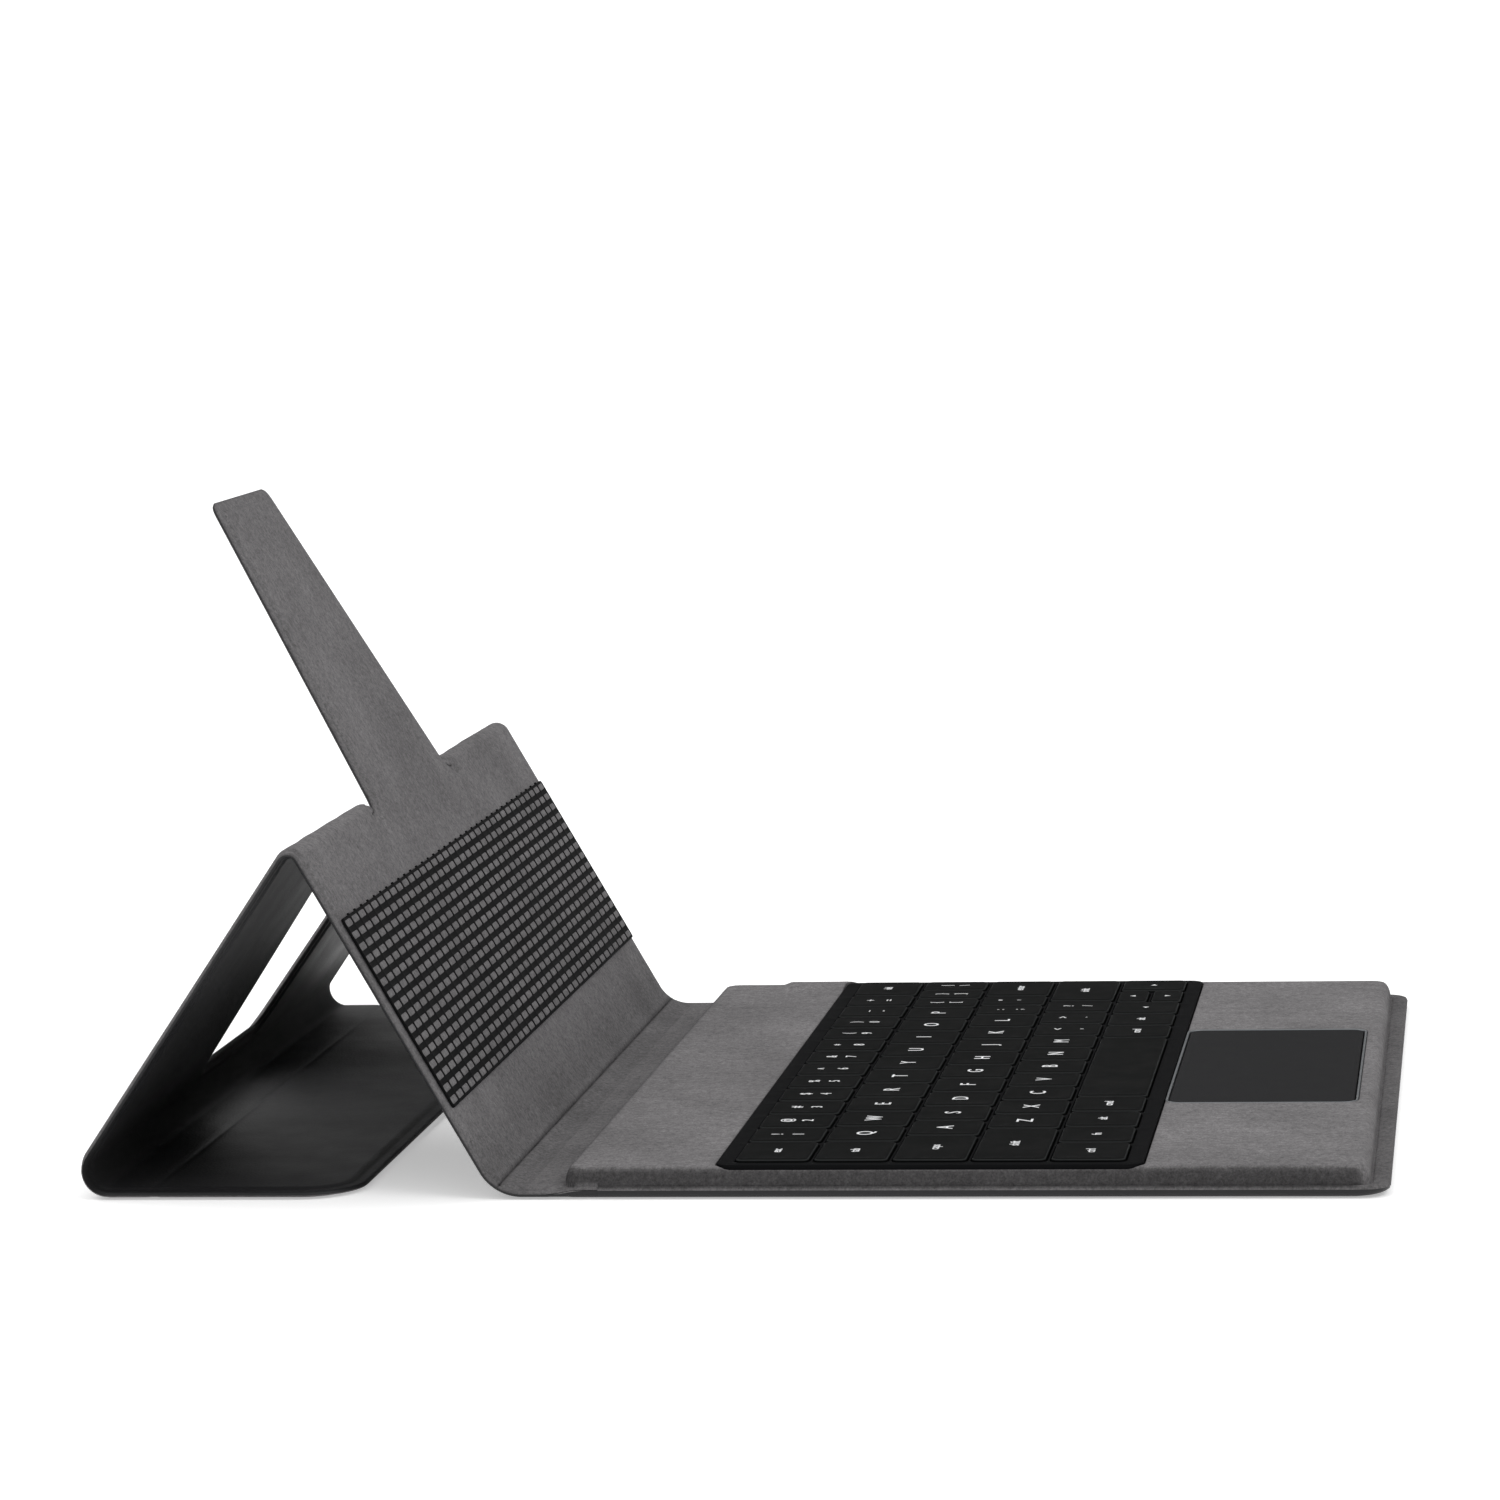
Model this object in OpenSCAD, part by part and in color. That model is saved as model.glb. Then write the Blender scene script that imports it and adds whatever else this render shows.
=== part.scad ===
// Tablet keyboard case: a folding cover that carries a keyboard with a touchpad.
// X runs across the case, Y from the front lip to the back fold, Z up from the table.

/* [Keyboard] */
// Width of one key unit, which sets the width of the whole case
key_unit = 18.08; // [16:0.02:22]
// Distance from one row of keys to the next
row_pitch = 18.1; // [15:0.1:22]
// Gap between neighbouring key caps
key_gap = 1.3; // [1:0.1:2.2]
// Height of a key cap
cap_h = 2.2; // [1.6:0.1:2.2]
// How far a key goes down
key_travel = 1.2; // [0.8:0.1:1.2]
// Corner radius of a key cap
cap_r = 1.6; // [0.8:0.1:3]
// Width of the bezel at the ends of the rows
bezel_side = 2.9; // [2:0.1:6]
// Width of the bezel in front of and behind the rows
bezel_rim = 3.6; // [3.6:0.1:8]
// Height of the bezel above the lining
bezel_proud = 0.3; // [0:0.1:0.8]

/* [Touchpad] */
// Width of the touchpad
touchpad_w = 101.6; // [60:0.2:140]
// Depth of the touchpad from front to back
touchpad_d = 44.4; // [30:0.2:70]
// Distance from the front lip to the touchpad
touchpad_front = 10; // [9:0.5:20]
// Gap round the touchpad
touchpad_gap = 0.3; // [0.2:0.05:0.5]
// Width of the trim ring round the touchpad
trim_w = 0.6; // [0.4:0.1:1.2]

/* [Base] */
// Height of the base at the lining's top face
base_h = 7.2; // [7.2:0.1:9]
// Depth of the space behind the keyboard that holds the battery and the circuit board
rear_bay = 35; // [30:0.5:60]
// Lining left at each side of the bezel
side_margin = 2.5; // [2.2:0.1:12]
// Height of the lip round the base
lip_h = 3; // [2.6:0.1:3.4]
// Depth of the lip at the front
lip_d = 4.5; // [3:0.1:6]
// Corner radius at the front of the base
corner_r = 6; // [3:0.5:9]

/* [Cover panels] */
// Thickness of the outer skin
cover_t = 0.7; // [0.5:0.05:1]
// Thickness of the stiff board between the skins
board_t = 0.9; // [0.6:0.05:1.2]
// Thickness of the soft lining
lining_t = 0.8; // [0.5:0.05:1]
// Distance from the edge of a panel to its board
seam_w = 3; // [2:0.2:6]
// Length of the support panel from its crease to the top fold
support_len = 93; // [77:0.5:99]
// Angle of the support panel above the table, in degrees
lean = 60.8; // [56:0.2:66]
// Thickness of the tablet that the closed case holds
tablet_t = 5.6; // [4:0.1:9]
// Extra length of the closure that takes up a thicker tablet
closure_slack = 5.5; // [2:0.5:12]
// Length of the closing flap
flap_len = 48.5; // [40:0.5:60]
// Corner radius of the closing flap
flap_r = 14; // [6:0.5:18]

/* [Tongue] */
// Length of the back panel between the slot's end and the bottom fold
bridge_len = 16; // [14:0.5:30]
// Width of the tongue at the top fold
tongue_root_w = 88; // [70:0.5:110]
// Width of the tongue at its tip
tongue_tip_w = 57; // [40:0.5:68]
// Corner radius at the tongue's tip
tip_r = 4; // [3.2:0.2:8]
// Fillet radius where the tongue meets the fold
root_r = 5; // [4:0.2:9]
// Gap between the tongue and its slot
slot_gap = 1; // [0.6:0.1:1.6]

/* [Grip pad] */
// Distance from the crease to the grip pad
pad_start = 21.8; // [16:0.2:30]
// Length of the grip pad up the support panel
pad_len = 50.4; // [40:0.2:60]
// Distance from the side of the case to the grip pad
pad_inset = 3; // [2:0.2:12]
// Thickness of the grip pad
pad_t = 0.5; // [0.4:0.1:1.4]

/* [Magnets] */
// Diameter of a magnet
magnet_d = 10; // [6:0.5:12]
// Distance of the inner magnets from the middle of the case
magnet_x = 74; // [68:1:84]
// Distance between two magnets of a pair
magnet_pitch = 26; // [16:1:34]

/* [Hidden] */
$fn = 48;
eps = 0.01;

// Key widths in units, from the user's left to right. Every row is 14 units long.
ROW_UNITS = 14;
letter_number = 0.96;
letter_upper = 1.04;
letter_home = 1.035;
letter_lower = 1.005;
modifier_u = 1.07;
arrow_u = 1.02;
narrow_upper = 0.78;
narrow_home = 0.84;
tab_u = ROW_UNITS - 10 * letter_upper - 3 * narrow_upper;
caps_u = 1.65;
shift_u = 2.12;
space_u = 4.6;
control_u = 1.15;
number_end = (ROW_UNITS - 12 * letter_number) / 2;
enter_u = ROW_UNITS - caps_u - 9 * letter_home - 2 * narrow_home;
right_shift_u = ROW_UNITS - shift_u - 10 * letter_lower;
last_u = ROW_UNITS - control_u - 3 * modifier_u - space_u - 4 * arrow_u;
KEY_ROWS = [
    [number_end, for (i = [1:12]) letter_number, number_end],
    [tab_u, for (i = [1:10]) letter_upper, narrow_upper, narrow_upper, narrow_upper],
    [caps_u, for (i = [1:9]) letter_home, narrow_home, narrow_home, enter_u],
    [shift_u, for (i = [1:10]) letter_lower, right_shift_u],
    [control_u, modifier_u, modifier_u, modifier_u, space_u, arrow_u, arrow_u, arrow_u, arrow_u, last_u]
];
SPACE_ROW = 4;
SPLIT_KEY = 8;
// Every key as [row, place in the row, part of the row's depth: 0 all, 1 back half, -1 front half]
KEYS = [
    for (r = [0:4]) for (i = [0:len(KEY_ROWS[r]) - 1])
        for (half = r == SPACE_ROW && i == SPLIT_KEY ? [1, -1] : [0]) [r, i, half]
];

// Keyboard outline
keys_w = ROW_UNITS * key_unit;
bezel_w = keys_w + 2 * bezel_side;
case_w = bezel_w + 2 * side_margin;
trim_gap = 0.2;
touchpad_back = touchpad_front + touchpad_d;
bezel_y0 = touchpad_back + touchpad_gap + trim_w + trim_gap;
keys_y0 = bezel_y0 + bezel_rim;
keys_y1 = keys_y0 + 5 * row_pitch;
bezel_y1 = keys_y1 + bezel_rim;
base_d = bezel_y1 + rear_bay;
bezel_r = 3.5;
cap_play = 0.35;

// Heights in the base
skin_t = 0.8;
tray_floor = 0.8;
tray_wall = 1;
tray_top = skin_t + tray_floor;
lining_z = base_h - lining_t;
board_z = lining_z - board_t;
bezel_top = base_h + bezel_proud;
cap_proud = 0.7;
cap_top = bezel_top + cap_proud;
cap_bottom = cap_top - cap_h;
plate_t = 0.4;
membrane_t = 0.3;
sheet_t = 0.2;
plate_gap = 0.1;
plate_z = tray_top + plate_gap;
plate_inset = 0.4;
membrane_inset = 0.8;
sheet_inset = 1.2;
membrane_z = plate_z + plate_t;
sheet_z = membrane_z + membrane_t;
dome_clear = 0.2;
dome_top = cap_bottom - key_travel - dome_clear;
dome_d = 5;
dome_taper = 0.6;
frame_z = sheet_z + sheet_t;
frame_h = 0.8;
frame_w = 10;
frame_bar = 1;
frame_end_bar = 0.6;
half_frame_w = 7;

// Walls of the base
lip_side = 1;
pad_wall = 1;
chamfer_side = 3.6;
chamfer_front = 6;
chamfer_h = 2;
cover_top = lip_h - lining_t;
tray_side = 3.2;
tray_front = 1.4;
tray_back = 2.4;
tray_r = 2;
tray_inner_r = 1;
tray_x = case_w / 2 - tray_side;
tray_y0 = touchpad_front - tray_front;
tray_y1 = base_d - tray_back;
inside_x = tray_x - tray_wall;
play = 0.2;

// Screws between the tray and the bezel
screw_d = 1.5;
screw_head_d = 3;
screw_head_h = 0.5;
screw_play = 0.3;
boss_d = 3.4;
screw_edge = 1.8;
screw_pitch = keys_w / 7;
SCREW_STEPS = [-3, -1, 1, 3];

// Side with the charging port and the power switch
port_back = 12;
port_y = bezel_y1 + port_back;
port_w = 9;
port_h = 3;
port_r = 1.3;
port_rise = 2.2;
port_z = tray_top + port_rise;
port_wall = 0.35;
port_len = 8;
port_end_wall = 1;
port_tab_t = 0.7;
port_tab_w = 6.6;
port_set_in = 0.2;
port_outer_x = case_w / 2 - lip_side - port_set_in;
opening_in = 3;
opening_x0 = tray_x - opening_in;
opening_len = 10;
switch_back = 1;
switch_y = bezel_y1 + switch_back;
switch_w = 4;
switch_front = 1;
switch_set_in = 5;
switch_clear = 0.3;
slider_w = 4;
slider_h = 1.2;
slider_z = board_z - slider_h;
slider_travel = 2;
slider_proud = 0.6;
slider_len = 4;
bump_h = 0.8;
bump_d = 27;
bump_w = 12;
bump_shift = 8.5;

// Electronics behind the keyboard
bay_gap = 2.5;
bay_y0 = bezel_y1 + bay_gap;
bay_edge = 1;
bay_y1 = tray_y1 - tray_wall - bay_edge;
board_w = 60;
board_x1 = inside_x - bay_edge;
board_x0 = board_x1 - board_w;
main_board_w = board_w - port_len - bay_edge;
pcb_t = 0.9;
pcb_z = membrane_z + membrane_t;
// Square chips as [place across, place back, side]
CHIPS = [[10, 8, 9], [27, 14, 7], [40, 5, 5]];
chip_h = 1.1;
standoff_d = 2.4;
standoff_edge = 1.8;
battery_h = 3.3;
battery_gap = 8;
battery_r = 1.5;
pocket_clear = 0.2;
ribbon_w = 12;
ribbon_t = 0.08;
ribbon_start = 22;
ribbon_end = 2;
tail_in = 4;
tail_lap = 2;
tail_start = 1;

// Touchpad stack
surface_t = 1;
surface_down = 0.1;
surface_z = base_h - surface_down - surface_t;
pcb_inset = 1.5;
touchpad_pcb_t = 0.9;
click_gap = 0.75;
touchpad_r = 3;
trim_proud = 0.05;
switch_pad_w = 6;
switch_pad_h = 1.6;
switch_pad_in = 6;
button_d = 3;

// Folded shape of the cover. Panels are drawn about their middle plane.
panel_t = cover_t + board_t + lining_t;
fold_z = panel_t / 2;
spine_clear = 1.4;
spine_y = base_d + spine_clear;
front_clear = 2.4;
spine_len = cap_top + tablet_t + pad_t + panel_t / 2 - fold_z;
crease_y = spine_y + spine_len;
rear_len = spine_y + front_clear - support_len;
tongue_len = rear_len - bridge_len - slot_gap;
top_y = crease_y + support_len * cos(lean);
top_z = fold_z + support_len * sin(lean);
rear_angle = asin(support_len * sin(lean) / rear_len);
apex_y = top_y + rear_len * cos(rear_angle);
closure_len = spine_len + closure_slack + panel_t / 2;
spine_gap = 0.7;
crease_gap = 1.6;
top_gap = 3;
bottom_gap = 6;
flap_gap = 1.5;
flap_crease = 7;
board_clear = 0.1;
panel_r = 2;
grip_r = 1;
arc_steps = 8;
magnet_t = board_t;
base_magnet_t = 2;
magnet_back = 12;
magnet_play = 0.2;
magnet_y = touchpad_front + magnet_back;
flap_magnet_v = magnet_y + front_clear;
overall_d = apex_y - bottom_gap * cos(rear_angle) + panel_t / 2 * sin(rear_angle);

// Colours
LINING = [0.40, 0.39, 0.40];
OUTER = [0.13, 0.13, 0.14];
BLACK = [0.06, 0.06, 0.06];
CAP = [0.10, 0.11, 0.11];
BOARD = [0.55, 0.52, 0.46];
STEEL = [0.70, 0.70, 0.72];
PCB = [0.10, 0.32, 0.18];

// ---------- frames of reference ----------
module centred() translate([0, -overall_d / 2, 0]) children();
module in_spine() centred() translate([0, spine_y, fold_z]) children();
module in_support() centred() translate([0, crease_y, fold_z]) rotate([lean, 0, 0]) children();
module in_rear() centred() translate([0, top_y, top_z]) rotate([-rear_angle, 0, 0]) children();
module in_closure() centred() translate([0, apex_y, fold_z]) rotate([180, 0, 0]) children();
module in_flap() centred() translate([0, apex_y - closure_len, fold_z]) rotate([180, 0, 0]) children();

// ---------- flat shapes ----------
module rounded(x0, y0, x1, y1, r) {
    translate([x0 + r, y0]) square([x1 - x0 - 2 * r, y1 - y0]);
    translate([x0, y0 + r]) square([x1 - x0, y1 - y0 - 2 * r]);
    for (x = [x0 + r, x1 - r], y = [y0 + r, y1 - r]) translate([x, y]) circle(r = r);
}

// Rounded at the front only, for a solid whose back meets a fold
module front_rounded(x, y0, y1, r) {
    rounded(-x, y0, x, y0 + 4 * r, r);
    translate([-x, y0 + 2 * r]) square([2 * x, y1 - y0 - 2 * r]);
}

module slab(z0, z1) translate([0, 0, z0]) linear_extrude(z1 - z0) children();

function arc(cx, cy, r, a0, a1) = [
    for (i = [0:arc_steps]) let (a = a0 + (a1 - a0) * i / arc_steps) [cx + r * cos(a), cy + r * sin(a)]
];

// The tongue's outline beyond the top fold, moved outwards by grow
module tongue_2d(grow, below) {
    taper = atan((tongue_root_w - tongue_tip_w) / 2 / tongue_len);
    side = grow / cos(taper);
    tip = tongue_len + grow;
    tip_half = tongue_tip_w / 2 + side - grow * tan(taper);
    root_half = tongue_root_w / 2 + side;
    r_tip = max(tip_r + grow, 0.5);
    r_root = max(root_r - grow, 0.5);
    lean_in = (1 - sin(taper)) / cos(taper);
    right = concat(
        [[root_half + r_root * lean_in, -below]],
        arc(root_half + r_root * lean_in, r_root, r_root, 270, 180 + taper),
        arc(tip_half - r_tip * lean_in, tip - r_tip, r_tip, taper, 90)
    );
    left = [for (i = [len(right) - 1:-1:0]) [-right[i][0], right[i][1]]];
    polygon(concat(right, left));
}

module support_2d(inset) {
    half = case_w / 2 - inset;
    rounded(-half, crease_gap + inset, half, support_len - top_gap - inset, panel_r);
    translate([0, support_len]) tongue_2d(-inset, top_gap + 2 * inset + panel_r);
}

module rear_2d(inset) {
    half = case_w / 2 - inset;
    difference() {
        rounded(-half, top_gap + inset, half, rear_len - bottom_gap - inset, panel_r);
        tongue_2d(slot_gap + inset, eps);
    }
}

module strip_2d(y0, y1) rounded(-case_w / 2, y0, case_w / 2, y1, panel_r);

module flap_2d() {
    half = case_w / 2;
    difference() {
        translate([-half, flap_gap]) square([2 * half, flap_len - flap_gap]);
        for (side = [-1, 1]) translate([side * half, flap_len]) square(2 * flap_r, center = true);
    }
    for (side = [-1, 1]) translate([side * (half - flap_r), flap_len - flap_r]) circle(r = flap_r);
}

module flap_board_2d(grow) rounded(
    -case_w / 2 + seam_w - grow, flap_crease - grow,
    case_w / 2 - seam_w + grow, flap_len - seam_w + grow, flap_r - seam_w + grow
);

// ---------- layers of a panel ----------
module cover_layer() slab(-panel_t / 2, panel_t / 2 - lining_t) children();
module board_layer() slab(-panel_t / 2 + cover_t, panel_t / 2 - lining_t) children();
module board_pocket()
    slab(-panel_t / 2 + cover_t - board_clear / 10, panel_t / 2 - lining_t + board_clear) children();
module lining_layer() slab(panel_t / 2 - lining_t, panel_t / 2) children();

// ---------- keys ----------
function units_before(row, i) = i <= 0 ? 0 : row[i - 1] + units_before(row, i - 1);
function key_x0(k) = -keys_w / 2 + units_before(KEY_ROWS[k[0]], k[1]) * key_unit + key_gap / 2;
function key_x1(k) = -keys_w / 2 + units_before(KEY_ROWS[k[0]], k[1] + 1) * key_unit - key_gap / 2;
function row_y0(k) = keys_y1 - (k[0] + 1) * row_pitch + key_gap / 2;
function key_y0(k) = row_y0(k) + (k[2] == 1 ? row_pitch / 2 : 0);
function key_y1(k) = row_y0(k) + row_pitch - key_gap - (k[2] == -1 ? row_pitch / 2 : 0);
function key_mid(k) = [(key_x0(k) + key_x1(k)) / 2, (key_y0(k) + key_y1(k)) / 2];

module key_2d(k, grow) rounded(
    key_x0(k) - grow, key_y0(k) - grow, key_x1(k) + grow, key_y1(k) + grow, cap_r
);

module key_caps(keys) color(CAP) centred() for (k = keys) slab(cap_bottom, cap_top) key_2d(k, 0);
module one_key(row, i, half = 0) key_caps([[row, i, half]]);
module row_keys(row, first, last) key_caps([for (i = [first:last]) [row, i, 0]]);

// ---------- the base's casing ----------
module touchpad_2d(grow) rounded(
    -touchpad_w / 2 - grow, touchpad_front - grow,
    touchpad_w / 2 + grow, touchpad_back + grow, touchpad_r + grow
);

module bezel_2d(grow) rounded(
    -bezel_w / 2 - grow, bezel_y0 - grow, bezel_w / 2 + grow, bezel_y1 + grow, bezel_r
);

// Where the charging port and the power switch pass through the side wall
module side_openings(grow) {
    translate([opening_x0, port_y - port_w / 2 - grow, port_z - port_h / 2 - grow])
        cube([opening_len, port_w + 2 * grow, port_h + 2 * grow]);
    translate([opening_x0, switch_y - slider_w / 2 - grow, slider_z - grow])
        cube([opening_len, slider_w + slider_travel + 2 * grow, slider_h + 2 * grow]);
}

module base_cover() color(OUTER) centred() difference() {
    intersection() {
        slab(0, cover_top) front_rounded(case_w / 2, 0, base_d, corner_r);
        translate([-case_w, 0, 0]) rotate([90, 0, 90]) linear_extrude(2 * case_w)
            polygon([[0, chamfer_h], [chamfer_front, 0], [base_d, 0], [base_d, cover_top], [0, cover_top]]);
        translate([0, 2 * base_d, 0]) rotate([90, 0, 0]) linear_extrude(3 * base_d)
            polygon([
                [-case_w / 2, chamfer_h], [chamfer_side - case_w / 2, 0], [case_w / 2 - chamfer_side, 0],
                [case_w / 2, chamfer_h], [case_w / 2, cover_top], [-case_w / 2, cover_top]
            ]);
    }
    translate([-tray_x - play, tray_y0 - play, skin_t])
        cube([2 * (tray_x + play), tray_y1 - tray_y0 + 2 * play, cover_top]);
    side_openings(play);
}

module base_lining() color(LINING) centred() difference() {
    union() {
        slab(cover_top, lip_h) front_rounded(case_w / 2, 0, base_d, corner_r);
        slab(lip_h - eps, base_h) front_rounded(case_w / 2 - lip_side, lip_d, base_d, corner_r - lip_side);
        translate([case_w / 2 - lip_side - bump_w, port_y - bump_d / 2 - bump_shift, base_h - eps])
            cube([bump_w, bump_d, bump_h]);
    }
    translate([0, 0, cover_top - eps]) linear_extrude(lining_z - cover_top + eps)
        front_rounded(
            case_w / 2 - lip_side - pad_wall, lip_d + pad_wall,
            base_d - pad_wall, corner_r - lip_side - pad_wall
        );
    slab(0, base_h + 1) bezel_2d(play);
    slab(0, base_h + 1) touchpad_2d(touchpad_gap + trim_w + trim_gap / 2);
    side_openings(play);
}

module base_board() color(BOARD) centred() difference() {
    slab(board_z, lining_z) rounded(-tray_x, tray_y0, tray_x, tray_y1, tray_r);
    slab(0, base_h) bezel_2d(play);
    slab(0, base_h) touchpad_2d(touchpad_gap + trim_w + trim_gap / 2);
}

module module_tray() color(BLACK) centred() difference() {
    slab(skin_t, board_z) rounded(-tray_x, tray_y0, tray_x, tray_y1, tray_r);
    slab(tray_top, board_z + 1) rounded(
        -inside_x, tray_y0 + tray_wall, inside_x, tray_y1 - tray_wall, tray_inner_r
    );
    each_screw() {
        cylinder(d = screw_d + screw_play, h = board_z);
        translate([0, 0, skin_t - eps]) cylinder(d = screw_head_d + screw_play, h = screw_head_h + eps);
    }
    side_openings(play);
}

// ---------- keyboard module ----------
module each_screw() {
    for (x = SCREW_STEPS, y = [bezel_y0 + screw_edge, bezel_y1 - screw_edge])
        translate([x * screw_pitch, y, 0]) children();
}

module keyboard_bezel() color(BLACK) centred() difference() {
    union() {
        slab(board_z, bezel_top) bezel_2d(0);
        each_screw() translate([0, 0, tray_top]) cylinder(d = boss_d, h = board_z - tray_top + eps);
    }
    for (k = KEYS) slab(0, bezel_top + 1) key_2d(k, cap_play);
    each_screw() cylinder(d = screw_d, h = board_z);
}

module bezel_screws() color(STEEL) centred() each_screw() {
    translate([0, 0, skin_t]) cylinder(d = screw_head_d, h = screw_head_h);
    translate([0, 0, skin_t + screw_head_h - eps])
        cylinder(d = screw_d, h = board_z - skin_t - screw_head_h);
}

module key_area(z, t, inset) translate([-keys_w / 2 + inset, keys_y0 + inset, z])
    cube([keys_w - 2 * inset, 5 * row_pitch - 2 * inset, t]);

module key_backplate() color(STEEL) centred() key_area(plate_z, plate_t, plate_inset);

module key_membrane() color([0.75, 0.78, 0.80]) centred() union() {
    key_area(membrane_z, membrane_t, membrane_inset);
    translate([board_x0 + tail_in, keys_y1 - tail_start, membrane_z])
        cube([ribbon_w, bay_y0 - keys_y1 + tail_start + tail_lap, membrane_t]);
}

module dome_sheet() color([0.85, 0.85, 0.82]) centred() union() {
    key_area(sheet_z, sheet_t, sheet_inset);
    for (k = KEYS) translate([key_mid(k)[0], key_mid(k)[1], sheet_z])
        cylinder(d1 = dome_d, d2 = dome_d * dome_taper, h = dome_top - sheet_z, $fn = 24);
}

module scissor_frame(depth) translate([0, 0, frame_h / 2]) difference() {
    cube([frame_w, depth, frame_h], center = true);
    cube([frame_w - 2 * frame_bar, depth - 2 * frame_end_bar, 2 * frame_h], center = true);
}

module scissor_frames() color([0.25, 0.25, 0.26]) centred() for (k = KEYS)
    translate([key_mid(k)[0], key_mid(k)[1], frame_z]) scissor_frame(k[2] == 0 ? frame_w : half_frame_w);

// ---------- electronics ----------
module main_board() color(PCB) centred() union() {
    translate([board_x0, bay_y0, pcb_z]) cube([main_board_w, bay_y1 - bay_y0, pcb_t]);
    for (chip = CHIPS)
        translate([board_x0 + chip[0], bay_y0 + chip[1], pcb_z + pcb_t - eps])
            cube([chip[2], chip[2], chip_h]);
    for (x = [standoff_edge, main_board_w - standoff_edge])
        for (y = [bay_y0 + standoff_edge, bay_y1 - standoff_edge])
            translate([board_x0 + x, y, tray_top]) cylinder(d = standoff_d, h = pcb_z - tray_top + eps);
}

module battery() color([0.30, 0.33, 0.38]) centred()
    slab(tray_top + pocket_clear, tray_top + pocket_clear + battery_h)
        rounded(-inside_x + battery_gap, bay_y0, board_x0 - battery_gap, bay_y1, battery_r);

// Outline of the charging port, moved inwards by inset
module port_2d(inset) rounded(
    -port_h / 2 + inset, -port_w / 2 + inset, port_h / 2 - inset, port_w / 2 - inset, port_r - inset
);

module charge_port() color(STEEL) centred()
    translate([port_outer_x, port_y, port_z]) rotate([0, -90, 0]) difference() {
        linear_extrude(port_len) port_2d(0);
        translate([0, 0, -eps]) linear_extrude(port_len - port_end_wall) difference() {
            port_2d(port_wall);
            square([port_tab_t, port_tab_w], center = true);
        }
    }

module switch_body() color(STEEL) centred()
    translate([inside_x - switch_set_in, switch_y - slider_w / 2 - switch_front, tray_top + pocket_clear])
        cube([
            switch_w, slider_w + slider_travel + 2 * switch_front,
            slider_z - tray_top - pocket_clear - switch_clear
        ]);

module power_slider() color(BLACK) centred()
    translate([inside_x - slider_len, switch_y - slider_w / 2, slider_z])
        cube([case_w / 2 - lip_side + slider_proud - inside_x + slider_len, slider_w, slider_h]);

// ---------- touchpad ----------
module touchpad_trim() color([0.45, 0.47, 0.48]) centred() difference() {
    slab(board_z, base_h + trim_proud) touchpad_2d(touchpad_gap + trim_w);
    slab(0, base_h + 1) touchpad_2d(touchpad_gap);
}

module touchpad_surface() color([0.19, 0.19, 0.19]) centred()
    slab(surface_z, surface_z + surface_t) touchpad_2d(0);

module touchpad_board() color(PCB) centred()
    slab(surface_z - touchpad_pcb_t, surface_z) touchpad_2d(-pcb_inset);

module click_switch() color(STEEL) centred()
    translate([0, touchpad_front + switch_pad_in, tray_top]) union() {
        translate([-switch_pad_w / 2, -switch_pad_w / 2, 0])
            cube([switch_pad_w, switch_pad_w, switch_pad_h]);
        cylinder(d = button_d, h = surface_z - touchpad_pcb_t - click_gap - tray_top);
    }

// Flat cable from the touchpad to the main board, under the backplate
module touchpad_ribbon() color([0.75, 0.45, 0.15]) centred()
    translate([-ribbon_w / 2, touchpad_front + ribbon_start, tray_top])
        cube([ribbon_w, bay_y0 - touchpad_front - ribbon_start - ribbon_end, ribbon_t]);

module base_magnets() color(STEEL) centred() each_magnet()
    translate([0, magnet_y, tray_top]) cylinder(d = magnet_d, h = base_magnet_t);

module each_magnet() for (side = [-1, 1], n = [0, 1])
    translate([side * (magnet_x + n * magnet_pitch), 0, 0]) children();

// ---------- folding cover ----------
module spine_cover() color(OUTER) in_spine() cover_layer() strip_2d(spine_gap, spine_len - crease_gap);
module spine_lining() color(LINING) in_spine() lining_layer() strip_2d(spine_gap, spine_len - crease_gap);

module support_cover() color(OUTER) in_support() difference() {
    cover_layer() support_2d(0);
    board_pocket() support_2d(seam_w - board_clear);
}
module support_board() color(BOARD) in_support() board_layer() support_2d(seam_w);
module support_lining() color(LINING) in_support() lining_layer() support_2d(0);

module grip_pad() color(BLACK) in_support() slab(panel_t / 2, panel_t / 2 + pad_t)
    rounded(-case_w / 2 + pad_inset, pad_start, case_w / 2 - pad_inset, pad_start + pad_len, grip_r);

module rear_cover() color(OUTER) in_rear() difference() {
    cover_layer() rear_2d(0);
    board_pocket() rear_2d(seam_w - board_clear);
}
module rear_board() color(BOARD) in_rear() board_layer() rear_2d(seam_w);
module rear_lining() color(LINING) in_rear() lining_layer() rear_2d(0);

module closure_cover() color(OUTER) in_closure() cover_layer()
    strip_2d(bottom_gap, closure_len - flap_gap);
module closure_lining() color(LINING) in_closure() lining_layer()
    strip_2d(bottom_gap, closure_len - flap_gap);

module flap_cover() color(OUTER) in_flap() difference() {
    cover_layer() flap_2d();
    board_pocket() flap_board_2d(board_clear);
}
module flap_board() color(BOARD) in_flap() difference() {
    board_layer() flap_board_2d(0);
    each_magnet() translate([0, flap_magnet_v, -panel_t])
        cylinder(d = magnet_d + magnet_play, h = 2 * panel_t);
}
module flap_magnets() color(STEEL) in_flap() each_magnet()
    translate([0, flap_magnet_v, -panel_t / 2 + cover_t]) cylinder(d = magnet_d, h = magnet_t);
module flap_lining() color(LINING) in_flap() lining_layer() flap_2d();

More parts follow.
